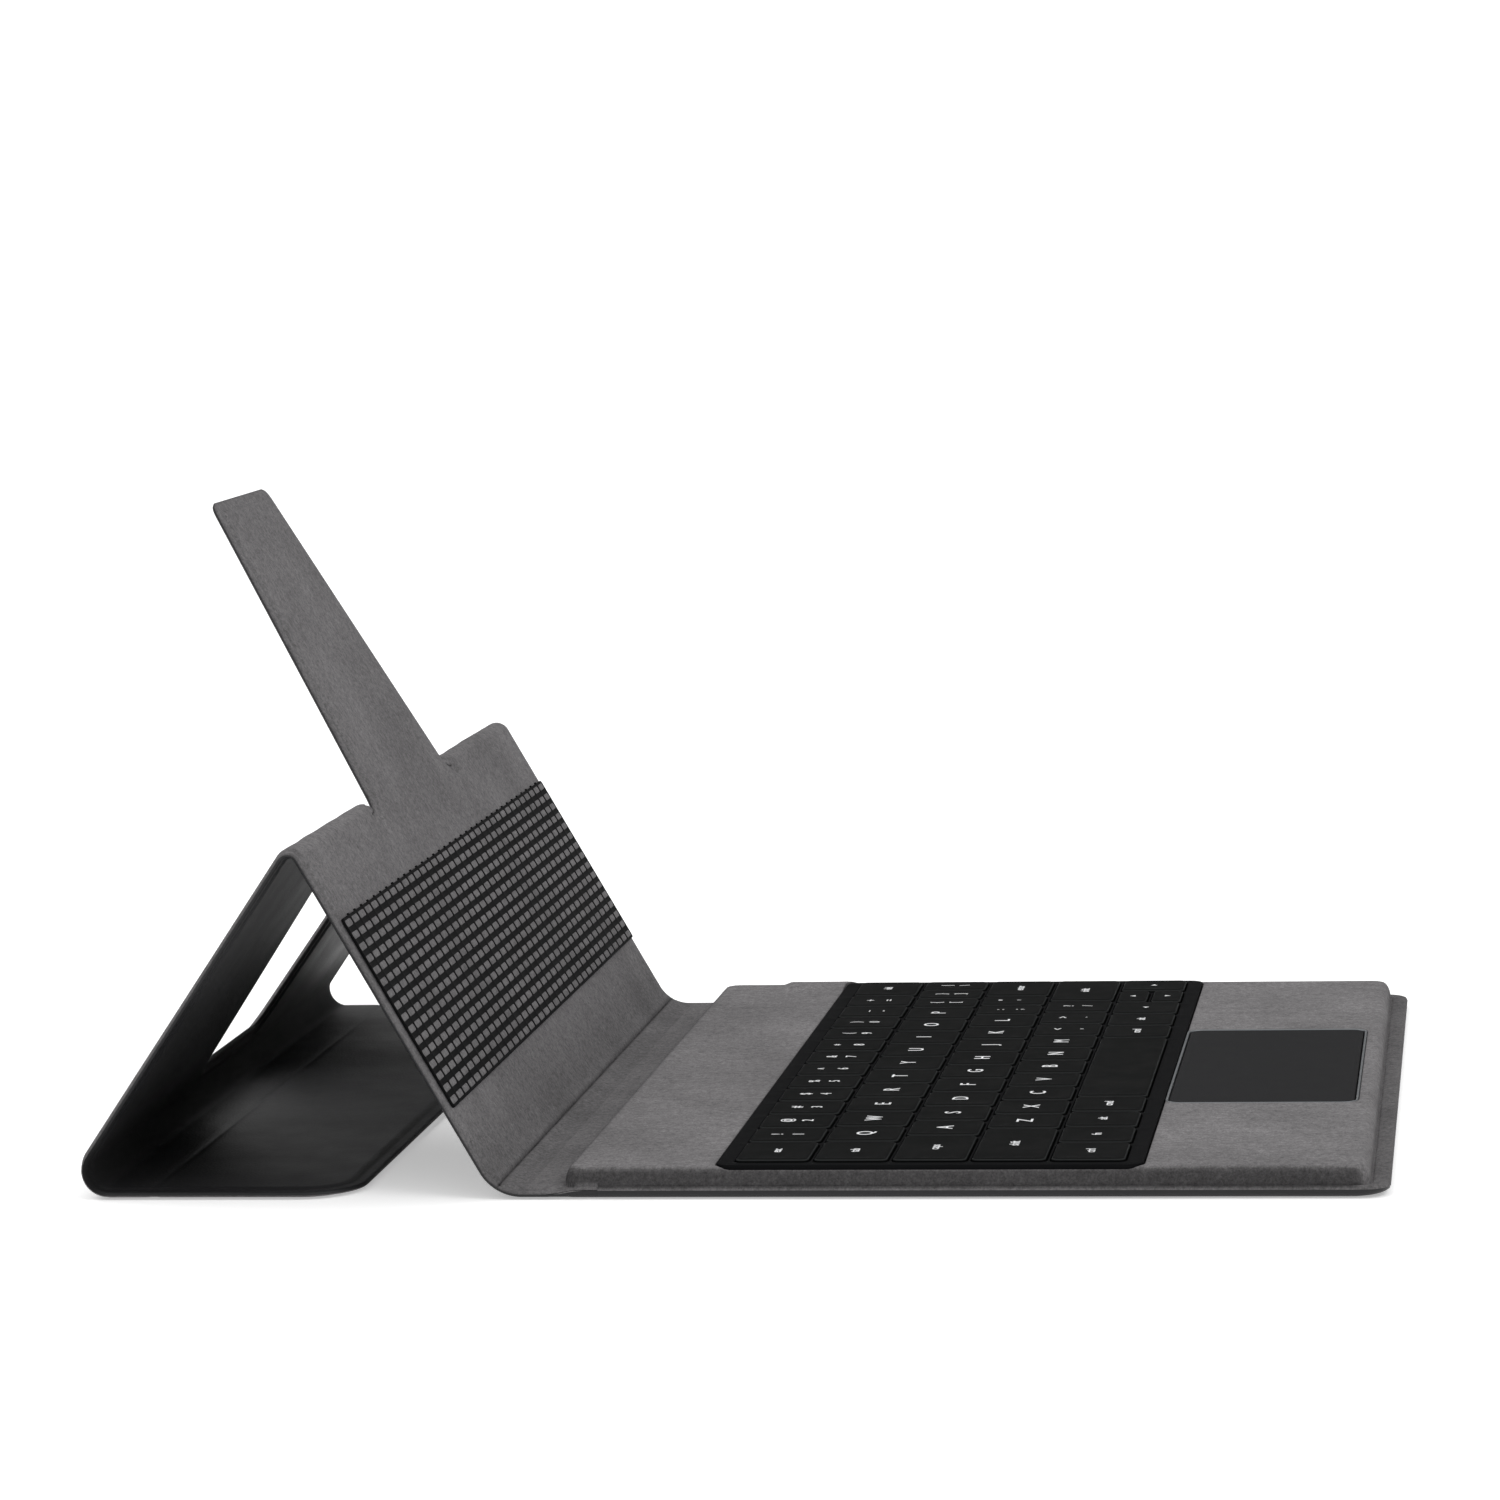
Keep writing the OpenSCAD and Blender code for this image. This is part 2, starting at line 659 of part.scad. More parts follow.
// ---------- assembly ----------
base_cover();
base_lining();
base_board();
module_tray();
keyboard_bezel();
bezel_screws();
key_backplate();
key_membrane();
dome_sheet();
scissor_frames();
main_board();
battery();
charge_port();
switch_body();
power_slider();
touchpad_trim();
touchpad_surface();
touchpad_board();
click_switch();
touchpad_ribbon();
base_magnets();
spine_cover();
spine_lining();
support_cover();
support_board();
support_lining();
grip_pad();
rear_cover();
rear_board();
rear_lining();
closure_cover();
closure_lining();
flap_cover();
flap_board();
flap_magnets();
flap_lining();
row_keys(0, 1, 12);  // number_keys
row_keys(1, 1, 12);  // upper_letter_keys
row_keys(2, 1, 11);  // home_letter_keys
row_keys(3, 1, 10);  // lower_letter_keys
one_key(0, 0);  // key_escape
one_key(0, 13);  // key_delete
one_key(1, 0);  // key_tab
one_key(1, 13);  // key_backslash
one_key(2, 0);  // key_caps
one_key(2, 12);  // key_enter
one_key(3, 0);  // key_shift_left
one_key(3, 11);  // key_shift_right
one_key(4, 0);  // key_control
one_key(4, 1);  // key_function
one_key(4, 2);  // key_option_left
one_key(4, 3);  // key_command_left
one_key(4, 4);  // key_space
one_key(4, 5);  // key_command_right
one_key(4, 6);  // key_option_right
one_key(4, 7);  // key_arrow_left
one_key(4, SPLIT_KEY, 1);  // key_arrow_up
one_key(4, SPLIT_KEY, -1);  // key_arrow_down
one_key(4, 9);  // key_arrow_right
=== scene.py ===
import math

import bmesh
import bpy
import numpy as np
from mathutils import Matrix, Vector, noise
from mathutils.geometry import delaunay_2d_cdt


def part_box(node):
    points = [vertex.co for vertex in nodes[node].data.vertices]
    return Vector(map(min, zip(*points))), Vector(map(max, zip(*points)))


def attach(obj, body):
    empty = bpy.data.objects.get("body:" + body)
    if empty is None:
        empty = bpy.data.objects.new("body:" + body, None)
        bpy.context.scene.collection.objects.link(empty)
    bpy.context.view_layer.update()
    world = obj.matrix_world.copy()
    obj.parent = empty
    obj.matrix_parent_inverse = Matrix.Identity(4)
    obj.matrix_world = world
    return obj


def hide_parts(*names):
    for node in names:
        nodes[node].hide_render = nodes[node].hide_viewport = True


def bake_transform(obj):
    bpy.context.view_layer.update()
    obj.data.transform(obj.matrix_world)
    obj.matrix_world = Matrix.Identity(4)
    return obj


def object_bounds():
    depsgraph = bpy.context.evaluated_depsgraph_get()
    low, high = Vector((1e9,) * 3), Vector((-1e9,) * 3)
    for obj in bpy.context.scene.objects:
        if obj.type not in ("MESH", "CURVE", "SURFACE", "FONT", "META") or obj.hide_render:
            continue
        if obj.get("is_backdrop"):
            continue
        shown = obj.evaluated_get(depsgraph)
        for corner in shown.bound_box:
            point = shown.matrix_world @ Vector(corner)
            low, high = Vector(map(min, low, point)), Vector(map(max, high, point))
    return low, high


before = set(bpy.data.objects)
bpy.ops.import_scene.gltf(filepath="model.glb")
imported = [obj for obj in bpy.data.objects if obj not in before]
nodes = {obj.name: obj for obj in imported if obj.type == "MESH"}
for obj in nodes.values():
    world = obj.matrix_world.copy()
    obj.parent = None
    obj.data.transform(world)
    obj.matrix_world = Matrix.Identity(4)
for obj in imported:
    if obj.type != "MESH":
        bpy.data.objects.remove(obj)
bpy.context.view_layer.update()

MM = 0.001


# ---------- sizes repeated from the CAD, in millimetres, Y measured from the front lip ----------
def box_mm(node):
    low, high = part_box(node)
    return [v / MM for v in low], [v / MM for v in high]


HALF_DEPTH = -box_mm("base_cover")[0][1]
CASE_X = box_mm("base_cover")[1][0]
PANEL = 1.2          # half the thickness of a panel
SEAM = 0.4           # where lining and skin meet, measured from a panel's middle plane
LINING_T = 0.8       # the lining on the base
BASE_TOP = 7.2
LIP_H = 3.0
LIP_D = 4.5
LIP_SIDE = 1.0
CORNER = 6.0
SPINE_Y = 189.6
CREASE = 14.3
LEAN = math.radians(60.8)
SUPPORT = 93.0
REAR = 99.0
REAR_ANGLE = math.asin(SUPPORT * math.sin(LEAN) / REAR)
CLOSURE = 21.0
FLAP = 48.5
TOP = CREASE + SUPPORT
BOTTOM = TOP + REAR
FLAP_FOLD = BOTTOM + CLOSURE
END = FLAP_FOLD + FLAP
TONGUE = 82.0
BEZEL_X, BEZEL_Y0, BEZEL_Y1, BEZEL_R = 129.46, 55.5, 153.2, 3.5
PAD_X, PAD_Y0, PAD_Y1, PAD_R = 50.8, 10.0, 54.4, 3.0


def place(points):
    """Millimetres measured from the lip to metres in the row frame."""
    p = np.asarray(points, float).reshape(-1, 3).copy()
    p[:, 1] -= HALF_DEPTH
    return p * MM


def smooth(a, b, x):
    t = np.clip((np.asarray(x, float) - a) / (b - a), 0, 1)
    return t * t * (3 - 2 * t)


def quarter(t):
    """Quarter circle from 0 at t = 0, steep, to 1 at t = 1, level."""
    t = np.clip(t, 0, 1)
    return np.sqrt(np.maximum(0, 1 - (1 - t) ** 2))


def ridge(d, width):
    """1 at distance 0, falling smoothly to 0 on both sides."""
    return np.exp(-(d / width) ** 2)


def waves(x, y, scale, seed):
    """Slow smooth noise from -1 to 1."""
    return np.array([noise.noise(Vector((a / scale, b / scale, seed))) for a, b in zip(x, y)])


# ---------- materials ----------
def material(name, colour, rough, spec=0.5, metal=0.0):
    m = bpy.data.materials.new(name)
    m.use_nodes = True
    b = m.node_tree.nodes["Principled BSDF"]
    b.inputs["Base Color"].default_value = (*colour, 1)
    b.inputs["Roughness"].default_value = rough
    b.inputs["Specular IOR Level"].default_value = spec
    b.inputs["Metallic"].default_value = metal
    return m


class Nodes:
    """Short names for adding shader nodes to a material."""

    def __init__(self, m):
        self.tree = m.node_tree
        self.shader = self.tree.nodes["Principled BSDF"]

    def add(self, kind, **values):
        n = self.tree.nodes.new("ShaderNode" + kind)
        for k, v in values.items():
            if k in n.inputs:
                n.inputs[k].default_value = v
            else:
                setattr(n, k, v)
        return n

    def link(self, a, b):
        self.tree.links.new(a, b)

    def feed(self, socket, value):
        """Links an output to the socket, or sets the socket to a number or a colour."""
        if hasattr(value, "links"):
            self.link(value, socket)
        else:
            socket.default_value = value if isinstance(value, float) else (*value, 1)

    def coords(self, stretch=(1, 1, 1), turn=0.0):
        tex = self.add("TexCoord")
        mapping = self.add("Mapping")
        mapping.inputs["Scale"].default_value = stretch
        mapping.inputs["Rotation"].default_value = (0, 0, turn)
        self.link(tex.outputs["Object"], mapping.inputs["Vector"])
        return mapping.outputs["Vector"]

    def noise(self, vector, scale, detail=4.0, rough=0.6):
        n = self.add("TexNoise", Scale=scale, Detail=detail, Roughness=rough)
        self.link(vector, n.inputs["Vector"])
        return n.outputs["Fac"]

    def ramp(self, value, stops):
        n = self.add("ValToRGB")
        while len(n.color_ramp.elements) > 1:
            n.color_ramp.elements.remove(n.color_ramp.elements[0])
        for i, (at, colour) in enumerate(stops):
            e = n.color_ramp.elements[0] if i == 0 else n.color_ramp.elements.new(at)
            e.position = at
            e.color = (*colour, 1) if len(colour) == 3 else colour
        self.link(value, n.inputs["Fac"])
        return n.outputs["Color"]

    def mix(self, kind, factor, a, b):
        n = self.add("Mix", data_type="RGBA", blend_type=kind)
        for i, value in ((0, factor), (6, a), (7, b)):
            self.feed(n.inputs[i], value)
        return n.outputs[2]

    def maths(self, kind, a, b):
        n = self.add("Math", operation=kind)
        self.feed(n.inputs[0], a)
        self.feed(n.inputs[1], b)
        return n.outputs[0]

    def colour(self, c):
        self.link(c, self.shader.inputs["Base Color"])

    def rough(self, c):
        self.link(c, self.shader.inputs["Roughness"])

    def bump(self, height, strength, distance):
        n = self.add("Bump", Strength=strength, Distance=distance)
        self.link(height, n.inputs["Height"])
        old = self.shader.inputs["Normal"].links
        if old:
            self.link(old[0].from_socket, n.inputs["Normal"])
        self.link(n.outputs["Normal"], self.shader.inputs["Normal"])


def grey(v):
    return (v, v, v)


def scaled(tone, k):
    return tuple(c * k for c in tone)


def suede(name, tone):
    """Short nap: mottled tone, brushed streaks, fine fibre bump, darker nap along cut edges and painted shade
    on rolled edges, creases and walls turned from the light.
    """
    m = material(name, tone, 0.95, spec=0.0)
    n = Nodes(m)
    n.shader.inputs["Sheen Weight"].default_value = 0.04
    n.shader.inputs["Sheen Roughness"].default_value = 0.6
    n.shader.inputs["Sheen Tint"].default_value = (0.85, 0.85, 0.87, 1)
    v = n.coords()
    mottle = n.noise(v, 28, 5, 0.62)
    streaks = n.noise(n.coords((620, 90, 240), 0.5), 1.0, 4, 0.7)
    fibre = n.noise(v, 2100, 2, 0.75)
    speck = n.noise(v, 780, 4, 0.75)
    base = n.ramp(mottle, [(0.34, scaled(tone, 0.86)), (0.66, scaled(tone, 1.12))])
    for pattern, a, dim, b, bright in (
            (streaks, 0.32, 0.90, 0.68, 1.05), (speck, 0.32, 0.66, 0.66, 1.16),
            (fibre, 0.3, 0.72, 0.68, 1.16)):
        base = n.mix("MULTIPLY", 1.0, base, n.ramp(pattern, [(a, grey(dim)), (b, grey(bright))]))
    # painted shade: the edge value darkens the colour on rolled edges, creases, valleys and walls turned from
    # the light, with darker nap along cut edges
    edge = n.add("Attribute", attribute_name="edge")
    painted_shade = n.ramp(edge.outputs["Fac"], [(0.0, grey(1.0)), (0.5, grey(0.76)), (1.0, grey(0.26))])
    n.colour(n.mix("MULTIPLY", 1.0, base, painted_shade))
    n.bump(fibre, 0.6, 0.00012)
    n.bump(speck, 0.6, 0.0002)
    n.bump(mottle, 0.2, 0.0006)
    return m


def leather(name, tone, rough):
    """Fine pebbled polyurethane skin, rougher where its edge value is high, with painted shade darkening its
    colour there.
    """
    m = material(name, tone, rough, spec=0.3)
    n = Nodes(m)
    v = n.coords()
    pebble = n.add("TexVoronoi", Scale=1500.0, feature="SMOOTH_F1", Smoothness=0.6)
    n.link(v, pebble.inputs["Vector"])
    fine = n.noise(v, 2600, 2, 0.5)
    wide = n.noise(v, 34, 4, 0.6)
    edge = n.add("Attribute", attribute_name="edge").outputs["Fac"]
    tones = n.ramp(wide, [(0.3, scaled(tone, 0.8)), (0.7, scaled(tone, 1.25))])
    # painted shade: the colour is darkened where the edge value is high
    n.colour(n.mix("MULTIPLY", 1.0, tones, n.ramp(edge, [(0.0, grey(1.0)), (1.0, grey(0.4))])))
    wear_and_highlight = n.ramp(wide, [(0.3, grey(rough - 0.06)), (0.7, grey(rough + 0.08))])
    n.rough(n.maths("ADD", wear_and_highlight, n.maths("MULTIPLY", edge, 0.4)))
    n.bump(pebble.outputs["Distance"], 0.35, 0.00012)
    n.bump(fine, 0.3, 0.00004)
    n.bump(wide, 0.2, 0.0005)
    return m


def plastic(name, tone, rough, grain=2200.0, strength=0.2, spec=0.45, wear_and_highlight=None):
    """Moulded satin plastic with a spark-eroded texture and, if given, a painted highlight: a lighter colour
    where the edge value is high.
    """
    m = material(name, tone, rough, spec=spec)
    n = Nodes(m)
    v = n.coords()
    fine = n.noise(v, grain, 2, 0.6)
    wide = n.noise(v, 60, 3, 0.6)
    tones = n.ramp(wide, [(0.3, scaled(tone, 0.9)), (0.7, scaled(tone, 1.12))])
    if wear_and_highlight:
        # painted highlight: the lighter colour is mixed in where the edge value is high, on the caps' bevels
        edge = n.add("Attribute", attribute_name="edge").outputs["Fac"]
        tones = n.mix("MIX", edge, tones, wear_and_highlight)
    n.colour(tones)
    n.rough(n.ramp(wide, [(0.3, grey(rough - 0.04)), (0.7, grey(rough + 0.05))]))
    n.bump(fine, strength, 0.00004)
    return m


def brushed(name, tone, rough, stretch=(40, 900, 900)):
    """Metal with fine lines."""
    m = material(name, tone, rough, metal=1.0)
    n = Nodes(m)
    lines = n.noise(n.coords(stretch), 1.0, 3, 0.6)
    n.rough(n.ramp(lines, [(0.3, grey(rough - 0.08)), (0.7, grey(rough + 0.12))]))
    n.colour(n.ramp(lines, [(0.2, scaled(tone, 0.85)), (0.8, tone)]))
    n.bump(lines, 0.08, 0.00005)
    return m


def flecked(name, tone, rough, second, scale):
    """Board, circuit board and other inside materials: two tones mixed by noise."""
    m = material(name, tone, rough)
    n = Nodes(m)
    v = n.coords()
    f = n.noise(v, scale, 5, 0.7)
    n.colour(n.ramp(f, [(0.35, tone), (0.65, second)]))
    n.bump(f, 0.3, 0.0001)
    return m


M_BASE = suede("suede_base", (0.205, 0.198, 0.201))
M_COVER = suede("suede_cover", (0.178, 0.172, 0.175))
M_SKIN = leather("skin", (0.0125, 0.0125, 0.0135), 0.5)
M_BEZEL = plastic("bezel_plastic", (0.0062, 0.0063, 0.0068), 0.6, spec=0.008)
# the keys' lighter colour is a painted highlight on their bevels
M_KEY = plastic("key_plastic", (0.0042, 0.0045, 0.0045), 0.5, grain=2600, strength=0.14, spec=0.008,
    wear_and_highlight=(0.030, 0.032, 0.032))
M_TRAY = plastic("tray_plastic", (0.012, 0.012, 0.013), 0.5)
M_LEGEND = plastic("legend_print", (0.86, 0.87, 0.88), 0.5, strength=0.05, spec=0.1)
M_TOUCH = plastic("touchpad_plastic", (0.021, 0.021, 0.022), 0.55, grain=3200, strength=0.1, spec=0.01)
M_TRIM = brushed("trim_metal", (0.20, 0.21, 0.22), 0.45, stretch=(600, 600, 600))
M_STEEL = brushed("steel", (0.62, 0.62, 0.64), 0.3)
M_MAGNET = brushed("magnet_nickel", (0.55, 0.55, 0.53), 0.25, stretch=(500, 500, 60))
M_GRIP = plastic("grip_silicone", (0.0055, 0.0055, 0.0058), 0.7, grain=1500, strength=0.3, spec=0.03)
M_BOARD = flecked("stiff_board", (0.33, 0.28, 0.21), 0.85, (0.25, 0.21, 0.15), 400)
M_PCB = flecked("circuit_board", (0.015, 0.09, 0.04), 0.4, (0.02, 0.12, 0.055), 300)
M_FILM = flecked("membrane", (0.55, 0.58, 0.6), 0.35, (0.48, 0.52, 0.55), 200)
M_DOME = flecked("dome_rubber", (0.62, 0.61, 0.57), 0.6, (0.55, 0.54, 0.5), 220)
M_CELL = flecked("battery_wrap", (0.10, 0.11, 0.13), 0.35, (0.12, 0.13, 0.16), 120)
M_FLEX = flecked("ribbon", (0.45, 0.20, 0.03), 0.3, (0.5, 0.25, 0.05), 250)

CARRIED = {
    "base_board": M_BOARD,
    "module_tray": M_TRAY, "bezel_screws": M_STEEL, "key_backplate": M_STEEL, "key_membrane": M_FILM,
    "dome_sheet": M_DOME, "scissor_frames": M_TRAY, "main_board": M_PCB, "battery": M_CELL,
    "charge_port": M_STEEL, "switch_body": M_STEEL, "power_slider": M_BEZEL, "touchpad_board": M_PCB,
    "click_switch": M_STEEL, "touchpad_ribbon": M_FLEX, "base_magnets": M_MAGNET, "flap_magnets": M_MAGNET,
}
for name, m in CARRIED.items():
    nodes[name].data.materials.clear()
    nodes[name].data.materials.append(m)


# ---------- mesh helpers ----------
def add_object(name, data):
    o = bpy.data.objects.new(name, data)
    bpy.context.scene.collection.objects.link(o)
    return o


def evaluated_mesh(o):
    """A new mesh of the object with its modifiers applied, or of a text."""
    bpy.context.view_layer.update()
    return bpy.data.meshes.new_from_object(o.evaluated_get(bpy.context.evaluated_depsgraph_get()))


def new_object(name, points, faces, mat, smooth_shade=True, edge=None):
    """A mesh object from millimetre points measured from the lip."""
    mesh = bpy.data.meshes.new(name)
    mesh.from_pydata([tuple(p) for p in place(points)], [], faces)
    mesh.materials.append(mat)
    mesh.validate()
    if smooth_shade:
        mesh.polygons.foreach_set("use_smooth", [True] * len(mesh.polygons))
    if edge is not None:
        a = mesh.attributes.new("edge", "FLOAT", "POINT")
        a.data.foreach_set("value", np.asarray(edge, np.float32))
    mesh.update()
    return add_object(name, mesh)


def sharpen(o, degrees):
    """Smooth shading that breaks at edges sharper than this."""
    with bpy.context.temp_override(
            object=o, active_object=o, selected_objects=[o], selected_editable_objects=[o]):
        bpy.ops.object.shade_smooth_by_angle(angle=math.radians(degrees))
    return o


def outside_runs(line, loop):
    """The stretches of a line of points that lie outside a closed outline."""
    runs, run = [], []
    for p, hidden in zip(line, inside(np.array(line), loop)):
        if hidden:
            runs.append(run)
            run = []
        else:
            run.append(p)
    return [r for r in runs + [run] if len(r) > 1]


def fix_normals(o):
    """Turns every face outwards."""
    bm = bmesh.new()
    bm.from_mesh(o.data)
    bmesh.ops.recalc_face_normals(bm, faces=bm.faces)
    bm.to_mesh(o.data)
    bm.free()
    return o


def arc_points(cx, cy, r, a0, a1, steps):
    """Points of an arc round (cx, cy) from angle a0 to a1, in degrees."""
    return [
        (cx + r * math.cos(math.radians(a0 + (a1 - a0) * i / steps)),
         cy + r * math.sin(math.radians(a0 + (a1 - a0) * i / steps)))
        for i in range(steps + 1)
    ]


def round_rect(x0, y0, x1, y1, r, steps=6):
    """Closed outline, anticlockwise."""
    r = max(min(r, (x1 - x0) / 2 - 1e-3, (y1 - y0) / 2 - 1e-3), 0.01)
    return (
        arc_points(x1 - r, y0 + r, r, -90, 0, steps) + arc_points(x1 - r, y1 - r, r, 0, 90, steps)
        + arc_points(x0 + r, y1 - r, r, 90, 180, steps) + arc_points(x0 + r, y0 + r, r, 180, 270, steps)
    )


def resample(loop, step, closed=True):
    """Adds points so that no side is longer than step."""
    out = []
    count = len(loop)
    for i in range(count if closed else count - 1):
        a, b = np.array(loop[i]), np.array(loop[(i + 1) % count])
        parts = max(1, int(math.ceil(np.linalg.norm(b - a) / step)))
        out += [tuple(a + (b - a) * k / parts) for k in range(parts)]
    if not closed:
        out.append(tuple(loop[-1]))
    return out


def offset_loop(loop, d):
    """Moves a closed anticlockwise outline outwards by d, along the mean of its sides' normals."""
    p = np.array(loop)
    before, after = np.roll(p, 1, 0), np.roll(p, -1, 0)
    e0, e1 = p - before, after - p
    e0 /= np.linalg.norm(e0, axis=1)[:, None] + 1e-12
    e1 /= np.linalg.norm(e1, axis=1)[:, None] + 1e-12
    n = np.stack([e0[:, 1] + e1[:, 1], -e0[:, 0] - e1[:, 0]], 1)
    n /= np.linalg.norm(n, axis=1)[:, None] + 1e-12
    cosine = np.clip((n * np.stack([e0[:, 1], -e0[:, 0]], 1)).sum(1), 0.5, 1)
    return [tuple(q) for q in p + n * (d / cosine)[:, None]]


def segment_distance(points, loops, closed=True):
    """Distance of each 2D point to the nearest side of the outlines."""
    best = np.full(len(points), 1e9)
    for loop in loops:
        a = np.array(loop)
        b = np.roll(a, -1, 0)
        if not closed:
            a, b = a[:-1], b[:-1]
        ab = b - a
        length = (ab ** 2).sum(1) + 1e-12
        for k in range(0, len(points), 4000):
            p = points[k:k + 4000]
            t = np.clip(((p[:, None] - a) * ab).sum(2) / length, 0, 1)
            gap = p[:, None] - (a + t[..., None] * ab)
            best[k:k + 4000] = np.minimum(best[k:k + 4000], np.sqrt((gap ** 2).sum(2).min(1)))
    return best


def inside(points, loop):
    """Which 2D points lie inside a closed outline."""
    a = np.array(loop)
    b = np.roll(a, -1, 0)
    x, y = points[:, 0][:, None], points[:, 1][:, None]
    crosses = (a[:, 1] > y) != (b[:, 1] > y)
    rise = b[:, 1] - a[:, 1]
    at = a[:, 0] + (y - a[:, 1]) / np.where(rise == 0, 1e-12, rise) * (b[:, 0] - a[:, 0])
    return (crosses & (x < at)).sum(1) % 2 == 1


def triangulate(loops, lines, extra):
    """Flat triangles through all outlines, lines and points, and the input point each point came from."""
    pts, edges = [], []
    for loop in loops:
        n0 = len(pts)
        pts += loop
        edges += [(n0 + i, n0 + (i + 1) % len(loop)) for i in range(len(loop))]
    for line in lines:
        n0 = len(pts)
        pts += line
        edges += [(n0 + i, n0 + i + 1) for i in range(len(line) - 1)]
    pts += extra
    out = delaunay_2d_cdt([Vector(p) for p in pts], edges, [], 0, 1e-5)
    origin = np.array([o[0] if o else -1 for o in out[3]])
    return np.array([tuple(v) for v in out[0]]), np.array([tuple(f) for f in out[2]]), origin


def shell(name, pts, tris, top, bottom, mat, edge=None, sharp=None):
    """A closed piece between two sets of 3D points over the same flat triangles."""
    used = np.unique(tris)
    new = np.full(len(pts), -1)
    new[used] = np.arange(len(used))
    t = new[tris]
    n = len(used)
    a, b, c = pts[tris[:, 0]], pts[tris[:, 1]], pts[tris[:, 2]]
    turn = (b[:, 0] - a[:, 0]) * (c[:, 1] - a[:, 1]) - (b[:, 1] - a[:, 1]) * (c[:, 0] - a[:, 0])
    t[turn < 0] = t[turn < 0][:, ::-1]
    t = t.tolist()
    faces = t + [[v + n for v in f[::-1]] for f in t]
    sides = {}
    for f in t:
        for p, q in zip(f, f[1:] + f[:1]):
            if not sides.pop((q, p), False):
                sides[(p, q)] = True
    faces += [(q, p, p + n, q + n) for p, q in sides]
    both = None if edge is None else np.concatenate([edge[used], edge[used]])
    o = new_object(name, np.concatenate([top[used], bottom[used]]), faces, mat, edge=both)
    return sharpen(o, sharp) if sharp else o


def plate(name, outer, holes, rings, height, low, mat, step=3.0, sharp=None, lift=None):
    """A flat plate with holes. height(distance to the nearest edge) gives its top."""
    outer = resample(outer, step)
    holes = [resample(h, step) for h in holes]
    loops, gaps = [outer] + holes, [0.0] * (len(outer) + sum(len(h) for h in holes))
    for d in rings:
        more = [offset_loop(outer, -d)] + [offset_loop(h, d) for h in holes]
        loops += more
        gaps += [d] * sum(len(m) for m in more)
    pts, tris, origin = triangulate(loops, [], [])
    d = np.where(origin >= 0, np.array(gaps)[origin], max(rings))
    mid = pts[tris].mean(1)
    keep = inside(mid, outer)
    for h in holes:
        lo, hi = np.min(h, 0), np.max(h, 0)
        some = np.where(((mid > lo) & (mid < hi)).all(1))[0]
        if len(some):
            keep[some[inside(mid[some], h)]] = False
    tris = tris[keep]
    top = np.column_stack([pts, height(d)])
    bottom = np.column_stack([pts, np.full(len(pts), low)])
    if lift:
        top, bottom = lift(top), lift(bottom)
    return shell(name, pts, tris, top, bottom, mat, sharp=sharp)


def loft(rows, ring=False):
    """Joins rows of points. The first and last are capped, or joined to each other for a ring."""
    n = len(rows[0])
    pts = [p for row in rows for p in row]
    faces = []
    for k in range(len(rows) if ring else len(rows) - 1):
        m = (k + 1) % len(rows)
        faces += [(k * n + i, k * n + (i + 1) % n, m * n + (i + 1) % n, m * n + i) for i in range(n)]
    if not ring:
        faces += [tuple(range(n - 1, -1, -1)), tuple(range((len(rows) - 1) * n, len(rows) * n))]
    return pts, faces


def joined(name, parts, mat, sharp=40, edge=None):
    """One object from several (points, faces) parts. edge(points) gives its edge values."""
    pts, faces = [], []
    for p, f in parts:
        n0 = len(pts)
        pts += list(p)
        faces += [tuple(i + n0 for i in face) for face in f]
    values = edge(np.array(pts)) if edge else None
    return sharpen(fix_normals(new_object(name, pts, faces, mat, edge=values)), sharp)


# ---------- the base's raised pad, shared by the base's lining and the strip behind it ----------
PAD_REAR = 188.4
PAD_CORNER = 5.0
RISE = 2.3
PAD_OUTLINE = round_rect(-CASE_X + LIP_SIDE, LIP_D, CASE_X - LIP_SIDE, PAD_REAR, PAD_CORNER, 9)


def inside_pad(points):
    """Distance inside the raised pad's outline, below 0 outside it. Points are (x, y)."""
    d = segment_distance(points, [PAD_OUTLINE])
    return np.where(inside(points, PAD_OUTLINE), d, -d)


def pad_top(dp, flange):
    """Height of the lining at distance dp inside the pad's outline, above a flange of this height."""
    return np.where(dp > 0, flange - 0.3 + (BASE_TOP - flange + 0.3) * quarter(dp / RISE), flange)


def pad_shade(dp, points):
    """Painted shade on the pad's rolled edge: strongest on the side walls, least on the front wall, which
    faces the light, with a painted dark line in the valley before the front rise.
    """
    side_gap = CASE_X - LIP_SIDE - np.abs(points[:, 0])
    to_side = smooth(-2.5, 2.5, points[:, 1] - LIP_D - side_gap)
    wall = (0.15 + 0.80 * to_side) * (1 - smooth(0.5, 2.6, dp)) * smooth(-1.4, -0.6, dp)
    valley = 0.6 * ridge(dp + 0.25, 0.5) * (1 - to_side)
    return np.maximum(wall, valley)


# ---------- the folding cover, made as one flat sheet in (x, s) and bent into shape ----------
START = -9.6         # where the sheet begins, under the back of the base
LEG_X = 49.0         # the back panel's legs begin this far out from the middle
TIP_HALF, ROOT_HALF, TIP_R, ROOT_R, SLOT_GAP = 28.5, 44.0, 4.0, 5.0, 1.0
TOP_R, CREASE_R, BOTTOM_R = 2.5, 10.5, 5.6
# where each fold is on the sheet, how far it turns, and its radius
FOLDS = [
    (CREASE, LEAN, CREASE_R),
    (TOP, -(LEAN + REAR_ANGLE), TOP_R),
    (BOTTOM, -(math.pi - REAR_ANGLE), BOTTOM_R),
]
CUT_S = TOP - TOP_R * math.tan((LEAN + REAR_ANGLE) / 2) - 0.1


